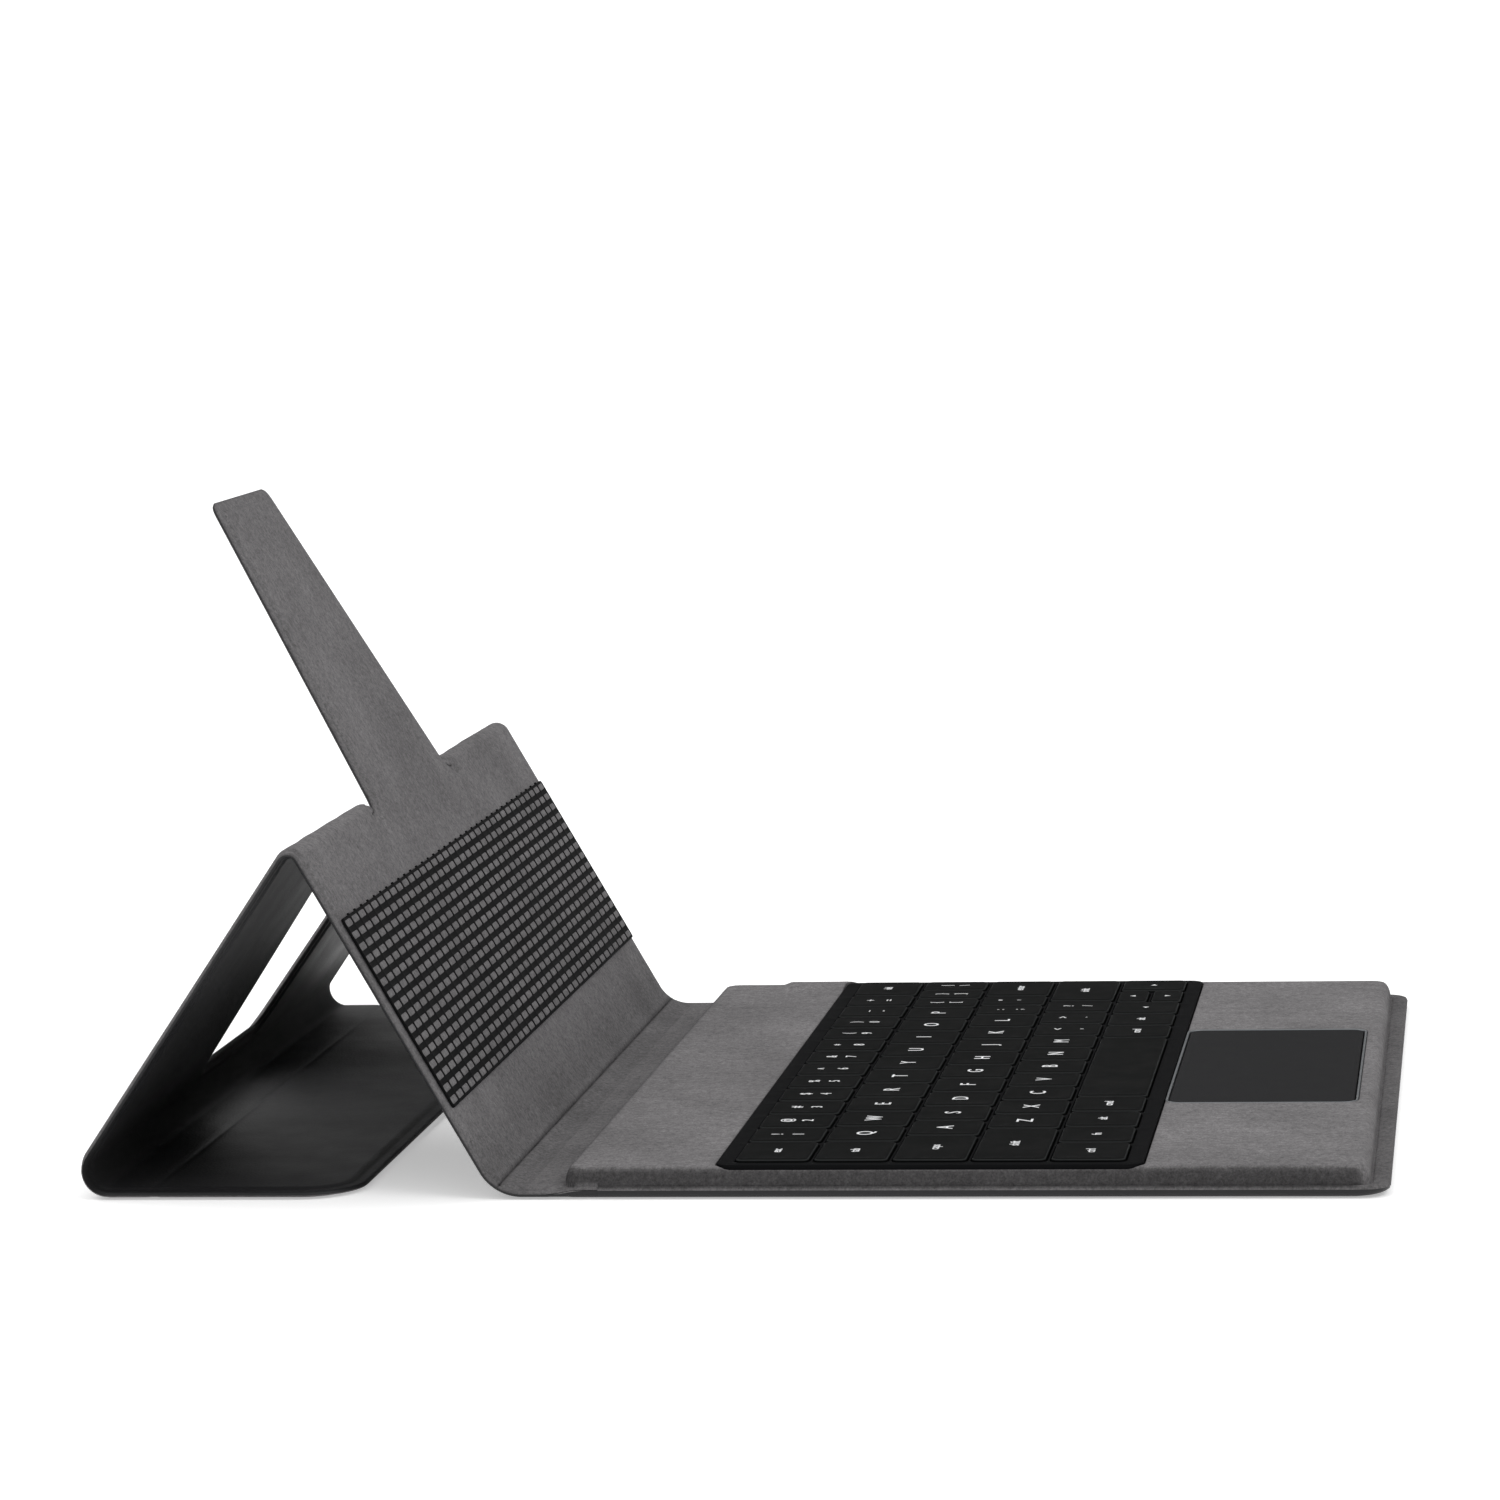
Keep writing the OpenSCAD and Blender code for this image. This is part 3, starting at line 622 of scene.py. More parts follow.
def tongue_outline(grow):
    """Right half of the tongue's edge in (x, s), from the cut's end to the tip, moved outwards by grow."""
    taper = math.atan((ROOT_HALF - TIP_HALF) / TONGUE)
    side = grow / math.cos(taper)
    slope = math.tan(taper)
    lean_in = (1 - math.sin(taper)) / math.cos(taper)
    tip = TOP + TONGUE + grow
    tip_half = TIP_HALF + side - grow * slope
    root_half = ROOT_HALF + side + (TOP - CUT_S) * slope
    r_tip, r_root = TIP_R + grow, ROOT_R - grow
    root = arc_points(root_half + r_root * lean_in, CUT_S + r_root, r_root, 270, 180 + math.degrees(taper), 6)
    end = arc_points(tip_half - r_tip * lean_in, tip - r_tip, r_tip, math.degrees(taper), 90, 7)
    return root + end


def mirrored(line):
    return [(-x, s) for x, s in reversed(line)]


inner = tongue_outline(0.0)
outer_cut = tongue_outline(SLOT_GAP)
TONGUE_LOOP = inner + mirrored(inner)
CUT_X = inner[0][0] + 0.9
CUT_WIDTH = 0.14
cut_round = [(CUT_X, CUT_S - CUT_WIDTH), (CUT_X + 0.15, CUT_S - 0.06)]
root_cut = [(inner[0][0], inner[0][1] - CUT_WIDTH)] + inner[1:]
# the void runs out along the slot's edge and back along the tongue's
VOID = (
    [(CUT_X, CUT_S + 0.02)] + outer_cut + mirrored(outer_cut) + [(-CUT_X, CUT_S + 0.02)]
    + mirrored(cut_round) + [(-x, s) for x, s in root_cut] + root_cut[::-1] + cut_round
)
VOID = [VOID[0]] + [p for p, q in zip(VOID[1:], VOID) if math.dist(p, q) > 1e-4]
area = sum(a[0] * b[1] - b[0] * a[1] for a, b in zip(VOID, VOID[1:] + VOID[:1]))
if area < 0:
    VOID.reverse()
FLAP_R = 14.0
OUTER = (
    [(-CASE_X, START), (CASE_X, START)]
    + arc_points(CASE_X - FLAP_R, END - FLAP_R, FLAP_R, 0, 90, 10)
    + arc_points(-CASE_X + FLAP_R, END - FLAP_R, FLAP_R, 90, 180, 10)
)
VOID = resample(VOID, 2.6)
OUTER = resample(OUTER, 3.0)
# the sheet's hemmed edges, run on past its near end, which is no edge
PAST = START - 40
far_side = [q for q in OUTER if q[1] > START + 1e-6 or q[0] > 0][1:]
SIDES = [[(CASE_X, PAST)] + far_side + [(-CASE_X, PAST)]]
RINGS = (0.45, 1.0, 2.2, 2.9, 3.6, 4.8)
GRID_STEP = 3.6
# the sheet is cut into these stretches at these places
STRETCHES = ("strip", "support", "top", "rear", "flap")
SPLITS = (CREASE / 2, TOP - 9.0, TOP + 42.0, BOTTOM + CLOSURE / 2)
LEVELS = sorted(
    [START + k for k in (3.2, 6.0, 13.0)]
    + [CREASE + 0.4 + k * 0.7 for k in range(-9, 10)] + [CREASE + 0.05, CREASE + 0.75]
    + [TOP + k * 0.8 for k in range(-9, 10)]
    + [BOTTOM + k * 1.25 for k in range(-10, 11)]
    + [FLAP_FOLD + k for k in (-4, -2.4, -1.2, -0.5, 0, 0.5, 1.2, 2.4, 4)]
    + list(SPLITS)
)


def sheet_path(s, h, bent=True):
    """A point of the sheet at arc length s and height h above its middle plane, as (y, z).

    Unbent, the sheet goes straight on past the top fold, as the tongue does."""
    y, z, angle, at = SPINE_Y, PANEL, 0.0, 0.0
    s = np.asarray(s, float)
    out_y, out_z = np.zeros(len(s)), np.zeros(len(s))
    start = -1e9
    for fold_s, turn, r in (FOLDS if bent else FOLDS[:1]) + [(1e9, 0.0, 0.0)]:
        t = r * abs(math.tan(turn / 2))
        here = (s >= start) & (s < fold_s - t)
        ca, sa = math.cos(angle), math.sin(angle)
        out_y[here] = y + (s[here] - at) * ca - h[here] * sa
        out_z[here] = z + (s[here] - at) * sa + h[here] * ca
        fy, fz = y + (fold_s - at) * ca, z + (fold_s - at) * sa
        bend = (s >= fold_s - t) & (s < fold_s + t)
        if bend.any():
            side = 1.0 if turn > 0 else -1.0
            cy, cz = fy - t * ca - side * r * sa, fz - t * sa + side * r * ca
            phi = angle + turn * (s[bend] - fold_s + t) / (2 * t)
            reach = r - side * h[bend]
            out_y[bend] = cy + side * reach * np.sin(phi)
            out_z[bend] = cz - side * reach * np.cos(phi)
        start = fold_s + t
        angle += turn
        y, z, at = fy, fz, fold_s
    return out_y, out_z


def edge_distance(points):
    """Distance from the sheet's hemmed edges and from the slot."""
    return np.minimum(segment_distance(points, SIDES, closed=False), segment_distance(points, [VOID]))


def cover_heights(pts):
    """Height of the lining and of the skin above the middle plane, and the painted shade on the lining, with
    darker nap at its edges.
    """
    x, s = pts[:, 0], pts[:, 1]
    d = edge_distance(pts)
    ax = np.abs(x)
    beside = np.maximum(LEG_X - ax, 0)
    past_top = np.abs(s - TOP) - 6.0
    from_fold = np.minimum.reduce([
        s - (CREASE + 4.6),
        np.hypot(np.maximum(past_top, 0), beside) + np.minimum(past_top, 0) * (beside == 0),
        np.abs(s - (BOTTOM + 5.5)) - 14.5,
        np.abs(s - (FLAP_FOLD - 2)) - 9.0,
    ])
    from_fold = np.where((s > BOTTOM) & (s < FLAP_FOLD + 7), -5, from_fold)
    hem = smooth(-0.55, 0.75, d - 3.0)
    round_off = quarter(d / 1.0)
    slow = 0.16 * waves(x, s, 34.0, 3.1) + 0.08 * waves(x, s, 13.0, 9.2)
    slow *= smooth(6, 22, d) * smooth(0, 14, from_fold)
    soft = 0.16 * waves(x, s, 9.0, 5.5) * (1 - smooth(-3, 3, from_fold)) * smooth(3.5, 9, d) * (s > START + 5)
    lining = 0.12 + 0.40 * round_off + 0.68 * hem + slow + soft
    lining -= 0.75 * ridge(s - CREASE - 0.4, 0.6) * smooth(0.4, 2.5, d)
    lining -= 0.15 * ridge(s - FLAP_FOLD, 0.8) * smooth(0.5, 3, d)
    skin = -(0.05 + 0.62 * round_off + 0.53 * hem) + slow + 0.7 * soft
    skin += 0.28 * ridge(s - FLAP_FOLD, 0.7) * smooth(0.5, 3, d)
    skin += 0.10 * ridge(from_fold, 0.7) * smooth(2.0, 4, d)
    # the back of the base: its pad, rounded down to the strip
    behind = s < 3.0
    on_base = np.column_stack([x, s + SPINE_Y])
    dp = inside_pad(on_base)
    level = smooth(-6.5, 0.5, s)
    edge_round = LIP_H - LINING_T + LINING_T * quarter((CASE_X - ax) / LINING_T)
    flange = edge_round * (1 - level) + (lining + PANEL) * level
    lining = np.where(behind, pad_top(dp, flange) - PANEL, lining)
    under = skirt_height(CASE_X - ax, 4.0) - PANEL
    drop = smooth(-4, 2, s)
    skin = np.where(behind, under * (1 - drop) + skin * drop, skin)
    seam = SEAM * round_off * hem + 0.06
    strip_seam = (LIP_H - LINING_T - PANEL) * (1 - level) + seam * level
    seam = np.where(behind, np.maximum(strip_seam, skin + 0.1), seam)
    seam = np.where(behind & (dp > 1.2), BASE_TOP - LINING_T - PANEL, seam)
    # painted shade along the hemmed edges and in the hem line's groove, with darker nap at the cut edges
    nap_and_shade = np.exp(-d / 0.5) * 0.75 + 0.25 * ridge(d - 3.0, 0.4) * (s > CREASE + 2)
    nap_and_shade = np.where(s < 2.0, nap_and_shade * level, nap_and_shade)
    # painted shade: a dark line in the crease, and darker low on the support, near the crease
    nap_and_shade = np.maximum(nap_and_shade, 0.9 * ridge(s - CREASE - 0.4, 0.55))
    nap_and_shade = np.maximum(nap_and_shade, 0.40 * (1 - smooth(CREASE + 2, CREASE + 22, s)))
    # painted shade on the strip behind the base and on the pad's rolled edge there
    strip_shade = np.maximum.reduce([
        np.where(dp > 0, pad_shade(dp, on_base), 0.40 * level + 0.6 * (1 - level)),
        np.where(behind, 0, 0.40), nap_and_shade * (s > 2)])
    nap_and_shade = np.where(s < SPLITS[0] - 1e-3, strip_shade, nap_and_shade)
    return lining, skin, seam, np.clip(nap_and_shade, 0, 1)


def skirt_height(d, width):
    """The skin's height where it curves under the base, at distance d in from its outline."""
    return (LIP_H - LINING_T) * (1 - quarter(d / width))


def build_cover():
    """The sheet's lining, skin and stiff boards, as (lining, skin) for each stretch."""
    lines = [resample([(-CASE_X, s), (CASE_X, s)], 3.4, closed=False) for s in LEVELS]
    for inset in (-1.0, -0.4, 0.0, 0.12, 0.35, 0.7, 1.15, 1.7, 2.4, 3.4):
        x, y, r = CASE_X - LIP_SIDE - inset, PAD_REAR - inset - SPINE_Y, PAD_CORNER - inset
        arc = arc_points(x - r, y - r, r, 0, 90, 8) + arc_points(-x + r, y - r, r, 90, 180, 8)
        lines.append(resample([(x, START)] + arc + [(-x, START)], 3.0, closed=False))
    # the middle rows must not cross the open slot
    kept = [run for line in lines for run in outside_runs(line, VOID)]
    extra = []
    for s in np.arange(START + 2, END - 5, GRID_STEP):
        if min(abs(s - v) for v in LEVELS) > 1.7:
            extra += [(x, s) for x in np.arange(-126, 126.1, GRID_STEP)]
    extra = np.array(extra)
    extra = [tuple(p) for p in extra[edge_distance(extra) > 6.2]]
    side_rings = [offset_loop(OUTER, -k)[2:-1] for k in RINGS]
    void_rings = [offset_loop(VOID, k) for k in RINGS]
    pts, tris, _ = triangulate([OUTER, VOID] + void_rings, kept + side_rings, extra)
    mid = pts[tris].mean(1)
    tris = tris[inside(mid, OUTER) & ~inside(mid, VOID)]
    mid = pts[tris].mean(1)
    lining, skin, seam, nap_and_shade = cover_heights(pts)
    flat_x, s = pts[:, 0], pts[:, 1]
    # painted shade: the skin's colour is darkened in the hollow of the bottom fold, where it is also rougher
    fold_shade = smooth(BOTTOM - 26, BOTTOM - 9, s) * (1 - smooth(BOTTOM + 3, BOTTOM + 13, s))
    # the tongue and the strip at its root stay flat when the sheet bends at the top
    upright_tris = inside(mid, [(-CUT_X, CUT_S - 8), (CUT_X, CUT_S - 8)] + TONGUE_LOOP)

    def to_3d(h, straight):
        y, z = sheet_path(s, h, bent=not straight)
        return np.column_stack([flat_x, y, np.maximum(z, 0.0)])

    ms = mid[:, 1]
    stretch = np.where(upright_tris, 1, np.searchsorted(SPLITS, ms, side="right"))
    made = {}
    for i, name in enumerate(STRETCHES):
        keep = stretch == i
        top, middle, under = (to_3d(h, name == "support") for h in (lining, seam, skin))
        nap_mat = M_BASE if name == "strip" else M_COVER
        made[name] = (
            shell(name + "_suede", pts, tris[keep], top, middle, nap_mat, edge=nap_and_shade, sharp=50),
            shell(name + "_skin", pts, tris[keep], middle, under, M_SKIN, edge=fold_shade, sharp=50),
        )
    d = edge_distance(mid)
    leg = np.abs(mid[:, 0]) > LEG_X
    stiff = {
        "support": (ms > CREASE + 6.5) & ((ms < TOP - 5) | upright_tris),
        "rear": (ms > TOP + 6) & (ms < BOTTOM - 14) & ~upright_tris & (leg | (ms > TOP + 12)),
        "flap": (ms > FLAP_FOLD + 7),
    }
    for name, keep in stiff.items():
        top, under = (to_3d(np.full(len(pts), h), name == "support") for h in (0.3, -0.45))
        board = shell(name + "_stiffener", pts, tris[keep & (d > 3.2)], top, under, M_BOARD, sharp=50)
        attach(board, name)
        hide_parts(name + "_board")
    return made


cover = build_cover()


def at(s, h=0.0):
    """A point of the folded path in the row frame, in metres."""
    y, z = sheet_path(np.array([float(s)]), np.array([float(h)]))
    return tuple(place([(0, y[0], z[0])])[0])


# each stretch lies on the first body, passes over a fold, and goes on as the second body's panel
JOINS = {
    "strip": ("base", "spine", at(-2.4), at(2.6)),
    "support": ("spine", "support", at(CREASE - 3.2), at(CREASE + 3.2)),
    "top": ("support", "rear", at(TOP - 5.2), at(TOP + 5.2)),
    "rear": ("rear", "closure", at(BOTTOM - 11.5), at(BOTTOM + 9)),
    "flap": ("closure", "flap", at(FLAP_FOLD - 4), at(FLAP_FOLD + 4)),
}
for name, (a, b, start, end) in JOINS.items():
    for piece, kind, layer in zip(cover[name], ("lining", "outer_skin"), ("_lining", "_cover")):
        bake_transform(piece)
        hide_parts(b + layer)


# ---------- the base's lining: flange, soft valley, rounded pad, openings ----------
PORT_Y = BEZEL_Y1 + 12.0
PORT_HALF = 4.7
CUT_FROM, CUT_TO = CASE_X - 4.5, CASE_X + 2
# the raised lining over the socket: where it starts and ends in Y, and starts in X
BUMP = (BEZEL_Y1 - 10.0, BEZEL_Y1 + 17.0, CASE_X - LIP_SIDE - 12.0)


def front_bends(cx, cy, r):
    """Both front corners' arcs, from the left side to the right side. cx and cy place their centres."""
    return arc_points(-cx, cy, r, 180, 270, 8) + arc_points(cx, cy, r, 270, 360, 8)


def build_base_lining():
    """The lining from the lip to the strip behind the base, open at the keyboard and the touchpad."""
    rear = SPINE_Y + START
    corner_x = CASE_X - CORNER
    u_line = resample(
        [(-CASE_X, rear)] + front_bends(corner_x, CORNER, CORNER) + [(CASE_X, rear)], 3.0, closed=False)
    outer = u_line + resample([(CASE_X, rear), (-CASE_X, rear)], 3.4, closed=False)[1:-1]
    x, y0, y1 = BEZEL_X + 0.35, BEZEL_Y0 - 0.35, BEZEL_Y1 + 0.35
    bezel = resample(round_rect(-x, y0, x, y1, BEZEL_R + 0.3, 5), 3)
    x, y0, y1 = PAD_X + 1.05, PAD_Y0 - 1.05, PAD_Y1 + 0.98
    touch = resample(round_rect(-x, y0, x, y1, PAD_R + 1, 6), 3)
    loops = [outer, bezel, touch]
    loops += [offset_loop(bezel, d) for d in (0.3, 0.9)] + [offset_loop(touch, d) for d in (0.15, 0.35)]
    lines = []
    for inset in (0.3, 0.8, 1.0):
        x = CASE_X - inset
        bends = front_bends(corner_x, CORNER, CORNER - inset)
        lines.append(resample([(-x, rear)] + bends + [(x, rear)], 3, closed=False))
    for inset in (-1.4, -0.8, -0.4, 0.0, 0.12, 0.35, 0.7, 1.15, 1.7, 2.4, 3.4):
        x, y, r = CASE_X - LIP_SIDE - inset, LIP_D + inset, max(PAD_CORNER - inset, 0.6)
        line = [(-x, rear)] + front_bends(x - r, y + r, r) + [(x, rear)]
        if inset < 0:
            line = [p for p in line if abs(p[0]) < CASE_X - 1.05 and p[1] < 30]
        if len(line) > 1:
            lines.append(resample(line, 3, closed=False))
    extra = []
    for y in np.arange(8, rear - 1, 3.5):
        extra += [(x, y) for x in np.arange(-126.5, 126.6, 3.5)]
    for inset in (1.0, 2.0, 3.0):
        both = (BUMP[0] + inset, BUMP[1] - inset)
        extra += [(x, y) for x in np.arange(BUMP[2] - 2, CASE_X - 1, 1.0) for y in both]
    pts, tris, _ = triangulate(loops, lines, extra)
    mid = pts[tris].mean(1)
    tris = tris[inside(mid, outer) & ~inside(mid, bezel) & ~inside(mid, touch)]
    x, y = pts[:, 0], pts[:, 1]
    d_out = segment_distance(pts, [u_line], closed=False)
    dp = inside_pad(pts)
    d_hole = segment_distance(pts, [bezel, touch])
    z = LIP_H - LINING_T + LINING_T * quarter(d_out / LINING_T)
    z -= 0.55 * ridge(dp + 0.35, 0.45) * smooth(1.2, 2.2, d_out)
    z = pad_top(dp, z)
    z -= 0.14 * (1 - quarter(d_hole / 0.5)) * (dp > 0)
    slow = 0.10 * waves(x, y, 30.0, 1.7) + 0.05 * waves(x, y, 11.0, 4.4)
    z += slow * smooth(3, 9, dp) * smooth(0, 3, d_hole)
    bump = smooth(BUMP[0] - 1.2, BUMP[0] + 1.6, y) * (1 - smooth(BUMP[1] - 1.6, BUMP[1] + 1.2, y))
    bump *= smooth(BUMP[2] - 1.0, BUMP[2] + 1.8, x)
    z += 0.8 * bump * (dp > 0)
    top = np.column_stack([pts, z])
    floor = np.where(dp > 1.2, BASE_TOP - LINING_T, LIP_H - LINING_T)
    floor = np.minimum(floor, z - 0.05)
    bottom = np.column_stack([pts, floor])
    # painted shade on the pad's rolled edge, the flange outside the pad and round the openings, with darker
    # nap at the rolled outer rim
    nap_and_shade = np.maximum.reduce([
        pad_shade(dp, pts), 0.5 * np.exp(-d_out / 0.5), 0.62 * smooth(0.5, 1.6, -dp),
        0.4 * np.exp(-d_hole / 0.25)])
    return shell("base_suede", pts, tris, top, bottom, M_BASE, edge=np.clip(nap_and_shade, 0, 1))


def cut(piece, low, high, radius):
    """Cuts a rounded opening along X through a piece."""
    outline = round_rect(low[1], low[2], high[1], high[2], radius, 6)
    pts, faces = loft([[(x, y, z) for y, z in outline] for x in (low[0], high[0])])
    tool = fix_normals(new_object("cutter", pts, faces, M_SKIN, smooth_shade=False))
    mod = piece.modifiers.new("cut", "BOOLEAN")
    mod.operation, mod.solver, mod.object = "DIFFERENCE", "EXACT", tool
    mesh = evaluated_mesh(piece)
    piece.modifiers.clear()
    piece.data = mesh
    bpy.data.objects.remove(tool)


def build_skirt():
    """The skin round the base: seam line under the lining, then a curve in to the floor."""
    rear = SPINE_Y + START
    # distance in from the sides and from the front, and height
    profile = [(1.5, 1.5, LIP_H - 0.75), (0.25, 0.25, LIP_H - 0.75), (0.12, 0.12, LIP_H - LINING_T)]
    for t in (0.0, 0.04, 0.12, 0.25, 0.42, 0.62, 0.82, 1.0):
        profile.append((4.0 * t, 6.0 * t, (LIP_H - 0.85) * (1 - float(quarter(t)))))
    profile += [(9.0, 11.0, 0.0), (9.0, 11.0, 0.7), (3.0, 4.5, LIP_H - 1.5)]
    rows = []
    for side, y, z in profile:
        r = max(CORNER - side * 0.5, 2.0)
        x = CASE_X - side
        half = [(0, y), (60, y)] + arc_points(x - r, y + r, r, 270, 360, 8) + [(x, 60), (x, 120), (x, rear)]
        rows.append([(-a, b, z) for a, b in half[:0:-1]] + [(a, b, z) for a, b in half])
    n = len(rows[0])
    pts = [p for row in rows for p in row]
    faces = []
    for k in range(len(rows)):
        m = (k + 1) % len(rows)
        faces += [(k * n + i, k * n + i + 1, m * n + i + 1, m * n + i) for i in range(n - 1)]
    faces.append(tuple(k * n for k in range(len(rows))))
    faces.append(tuple(k * n + n - 1 for k in reversed(range(len(rows)))))
    return sharpen(fix_normals(new_object("base_skin", pts, faces, M_SKIN)), 50)


base_lining = build_base_lining()
skirt = build_skirt()
for piece in (base_lining, skirt):
    cut(piece, (CUT_FROM, PORT_Y - PORT_HALF, 2.1), (CUT_TO, PORT_Y + PORT_HALF, 5.5), 1.5)
cut(base_lining, (CUT_FROM, BEZEL_Y1 - 1.2, 4.1), (CUT_TO, BEZEL_Y1 + 5.2, 5.7), 0.5)
sharpen(base_lining, 60)
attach(base_lining, "base")
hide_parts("base_lining")
floor_skin = plate(
    "base_floor", round_rect(-CASE_X + 7, 9, CASE_X - 7, SPINE_Y + START - 0.2, 3), [], (0.5, 2.0),
    lambda d: 0.7 + 0 * d, 0.0, M_SKIN, step=12)
for piece in (skirt, floor_skin):
    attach(piece, "base")
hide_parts("base_cover")


# ---------- keyboard ----------
KEY_UNIT, ROW_PITCH, KEY_GAP, CAP_R = 18.08, 18.1, 1.3, 1.6
KEYS_W, KEYS_Y1 = 14 * KEY_UNIT, 149.6
CAP_LOW, CAP_TOP = 6.0, 8.2
# each row's key widths in key units, from the left
UNITS = [
    [1.24] + [0.96] * 12 + [1.24],
    [1.26] + [1.04] * 10 + [0.78] * 3,
    [1.65] + [1.035] * 9 + [0.84] * 2 + [1.355],
    [2.12] + [1.005] * 10 + [1.83],
    [1.15] + [1.07] * 3 + [4.6] + [1.02] * 4 + [0.96],
]
ROW_NODES = [
    ["key_escape"] + ["number_keys"] * 12 + ["key_delete"],
    ["key_tab"] + ["upper_letter_keys"] * 12 + ["key_backslash"],
    ["key_caps"] + ["home_letter_keys"] * 11 + ["key_enter"],
    ["key_shift_left"] + ["lower_letter_keys"] * 10 + ["key_shift_right"],
    ["key_control", "key_function", "key_option_left", "key_command_left", "key_space", "key_command_right",
     "key_option_right", "key_arrow_left", "key_arrow_up", "key_arrow_right"],
]
LEGENDS = [
    ["esc"] + [a + "\n" + b for a, b in zip("!@#$%^&*()_+", "1234567890-=")] + ["del"],
    ["tab"] + list("QWERTYUIOP") + ["{\n[", "}\n]", "|\n\\"],
    ["caps"] + list("ASDFGHJKL") + [":\n;", "\"\n'", "enter"],
    ["shift"] + list("ZXCVBNM") + ["<\n,", ">\n.", "?\n/", "shift"],
    ["ctrl", "fn", "alt", "cmd", "", "cmd", "alt", "◀", "", "▶"],
]


def key_boxes():
    """Every key as (node, legend, x0, y0, x1, y1)."""
    found = []
    for r, row in enumerate(UNITS):
        x = -KEYS_W / 2
        y0 = KEYS_Y1 - (r + 1) * ROW_PITCH + KEY_GAP / 2
        y1 = y0 + ROW_PITCH - KEY_GAP
        for i, units in enumerate(row):
            x0, x1 = x + KEY_GAP / 2, x + units * KEY_UNIT - KEY_GAP / 2
            x += units * KEY_UNIT
            if ROW_NODES[r][i] == "key_arrow_up":
                found.append(("key_arrow_up", "▲", x0, y0 + ROW_PITCH / 2, x1, y1))
                found.append(("key_arrow_down", "▼", x0, y0, x1, y1 - ROW_PITCH / 2))
            else:
                found.append((ROW_NODES[r][i], LEGENDS[r][i], x0, y0, x1, y1))
    return found


KEYS = key_boxes()
# how far in from the cap's sides, and the height there
CAP_PROFILE = [
    (0.05, CAP_LOW), (0.0, CAP_LOW + 0.1), (0.0, 7.66), (0.035, 7.86), (0.13, 8.02), (0.29, 8.13),
    (0.5, 8.185), (0.85, CAP_TOP), (1.6, 8.185), (2.7, 8.16), (3.6, 8.15),
]


def cap(x0, y0, x1, y1):
    rows = []
    for inset, z in CAP_PROFILE:
        r = max(CAP_R - inset * 0.55, 0.5)
        rows.append([(a, b, z) for a, b in round_rect(x0 + inset, y0 + inset, x1 - inset, y1 - inset, r, 5)])
    return loft(rows)


def bevel_highlight(p):
    """1 on the bevel round a cap's top, where a lighter colour is painted as a highlight; 0 elsewhere."""
    return np.where((p[:, 2] > 7.8) & (p[:, 2] < 8.1), 1.0, 0.0)


def text_mesh(body, size, x, y):
    """Points and faces of a short printed legend, upright for someone facing +Y."""
    curve = bpy.data.curves.new("legend", "FONT")
    curve.body = body
    curve.size = size
    curve.align_x = "CENTER"
    curve.align_y = "CENTER"
    curve.space_line = 0.95
    curve.extrude = PRINT_T
    curve.offset = 0.03
    curve.resolution_u = 3
    o = add_object("legend", curve)
    mesh = evaluated_mesh(o)
    pts = [(v.co.x + x, v.co.y + y, v.co.z + PRINT_Z) for v in mesh.vertices]
    faces = [tuple(f.vertices) for f in mesh.polygons]
    bpy.data.objects.remove(o)
    return pts, faces


def triangle(x, y, turn):
    """A small arrowhead, turned from +X."""
    c, s = math.cos(turn), math.sin(turn)
    flat = [(x + a * c - b * s, y + a * s + b * c) for a, b in ((0.9, 0.0), (-0.6, 0.8), (-0.6, -0.8))]
    return loft([[(a, b, z) for a, b in flat] for z in (PRINT_Z - PRINT_T, PRINT_Z + PRINT_T)])


ARROWS = {"▶": 0.0, "▲": math.pi / 2, "◀": math.pi, "▼": -math.pi / 2}
PRINT_Z, PRINT_T = 8.165, 0.03      # the prints' middle height and half thickness
LETTER_SIZE, PAIR_SIZE, WORD_SIZE, PAIR_SHIFT = 5.6, 3.9, 3.2, 2.5


def build_keys():
    """The caps and the legends of each key node."""
    by_node = {}
    for node, legend, x0, y0, x1, y1 in KEYS:
        caps, prints = by_node.setdefault(node, ([], []))
        caps.append(cap(x0, y0, x1, y1))
        cx, cy = (x0 + x1) / 2, (y0 + y1) / 2
        if legend in ARROWS:
            prints.append(triangle(cx, cy, ARROWS[legend]))
        elif "\n" in legend:
            above, below = legend.split("\n")
            prints.append(text_mesh(above, PAIR_SIZE, cx, cy + PAIR_SHIFT))
            prints.append(text_mesh(below, PAIR_SIZE, cx, cy - PAIR_SHIFT))
        elif legend:
            prints.append(text_mesh(legend, LETTER_SIZE if len(legend) == 1 else WORD_SIZE, cx, cy))
    for node, (caps, prints) in by_node.items():
        o = joined(node + "_caps", caps, M_KEY, 35, edge=bevel_highlight)
        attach(o, node)
        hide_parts(node)
        if prints:
            p = joined(node + "_legends", prints, M_LEGEND, 30)
            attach(p, node)


build_keys()
PLAY = 0.35
BEZEL_LOW, BEZEL_TOP, BEZEL_EDGE = 6.0, 7.5, 0.22
openings = [
    round_rect(x0 - PLAY, y0 - PLAY, x1 + PLAY, y1 + PLAY, CAP_R + 0.15, 5) for _, _, x0, y0, x1, y1 in KEYS
]
bezel = plate(
    "bezel", round_rect(-BEZEL_X, BEZEL_Y0, BEZEL_X, BEZEL_Y1, BEZEL_R, 6), openings, (0.08, BEZEL_EDGE),
    lambda d: BEZEL_TOP - BEZEL_EDGE * (1 - quarter(d / BEZEL_EDGE)), BEZEL_LOW, M_BEZEL, step=6, sharp=50)
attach(bezel, "base")
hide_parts("keyboard_bezel")


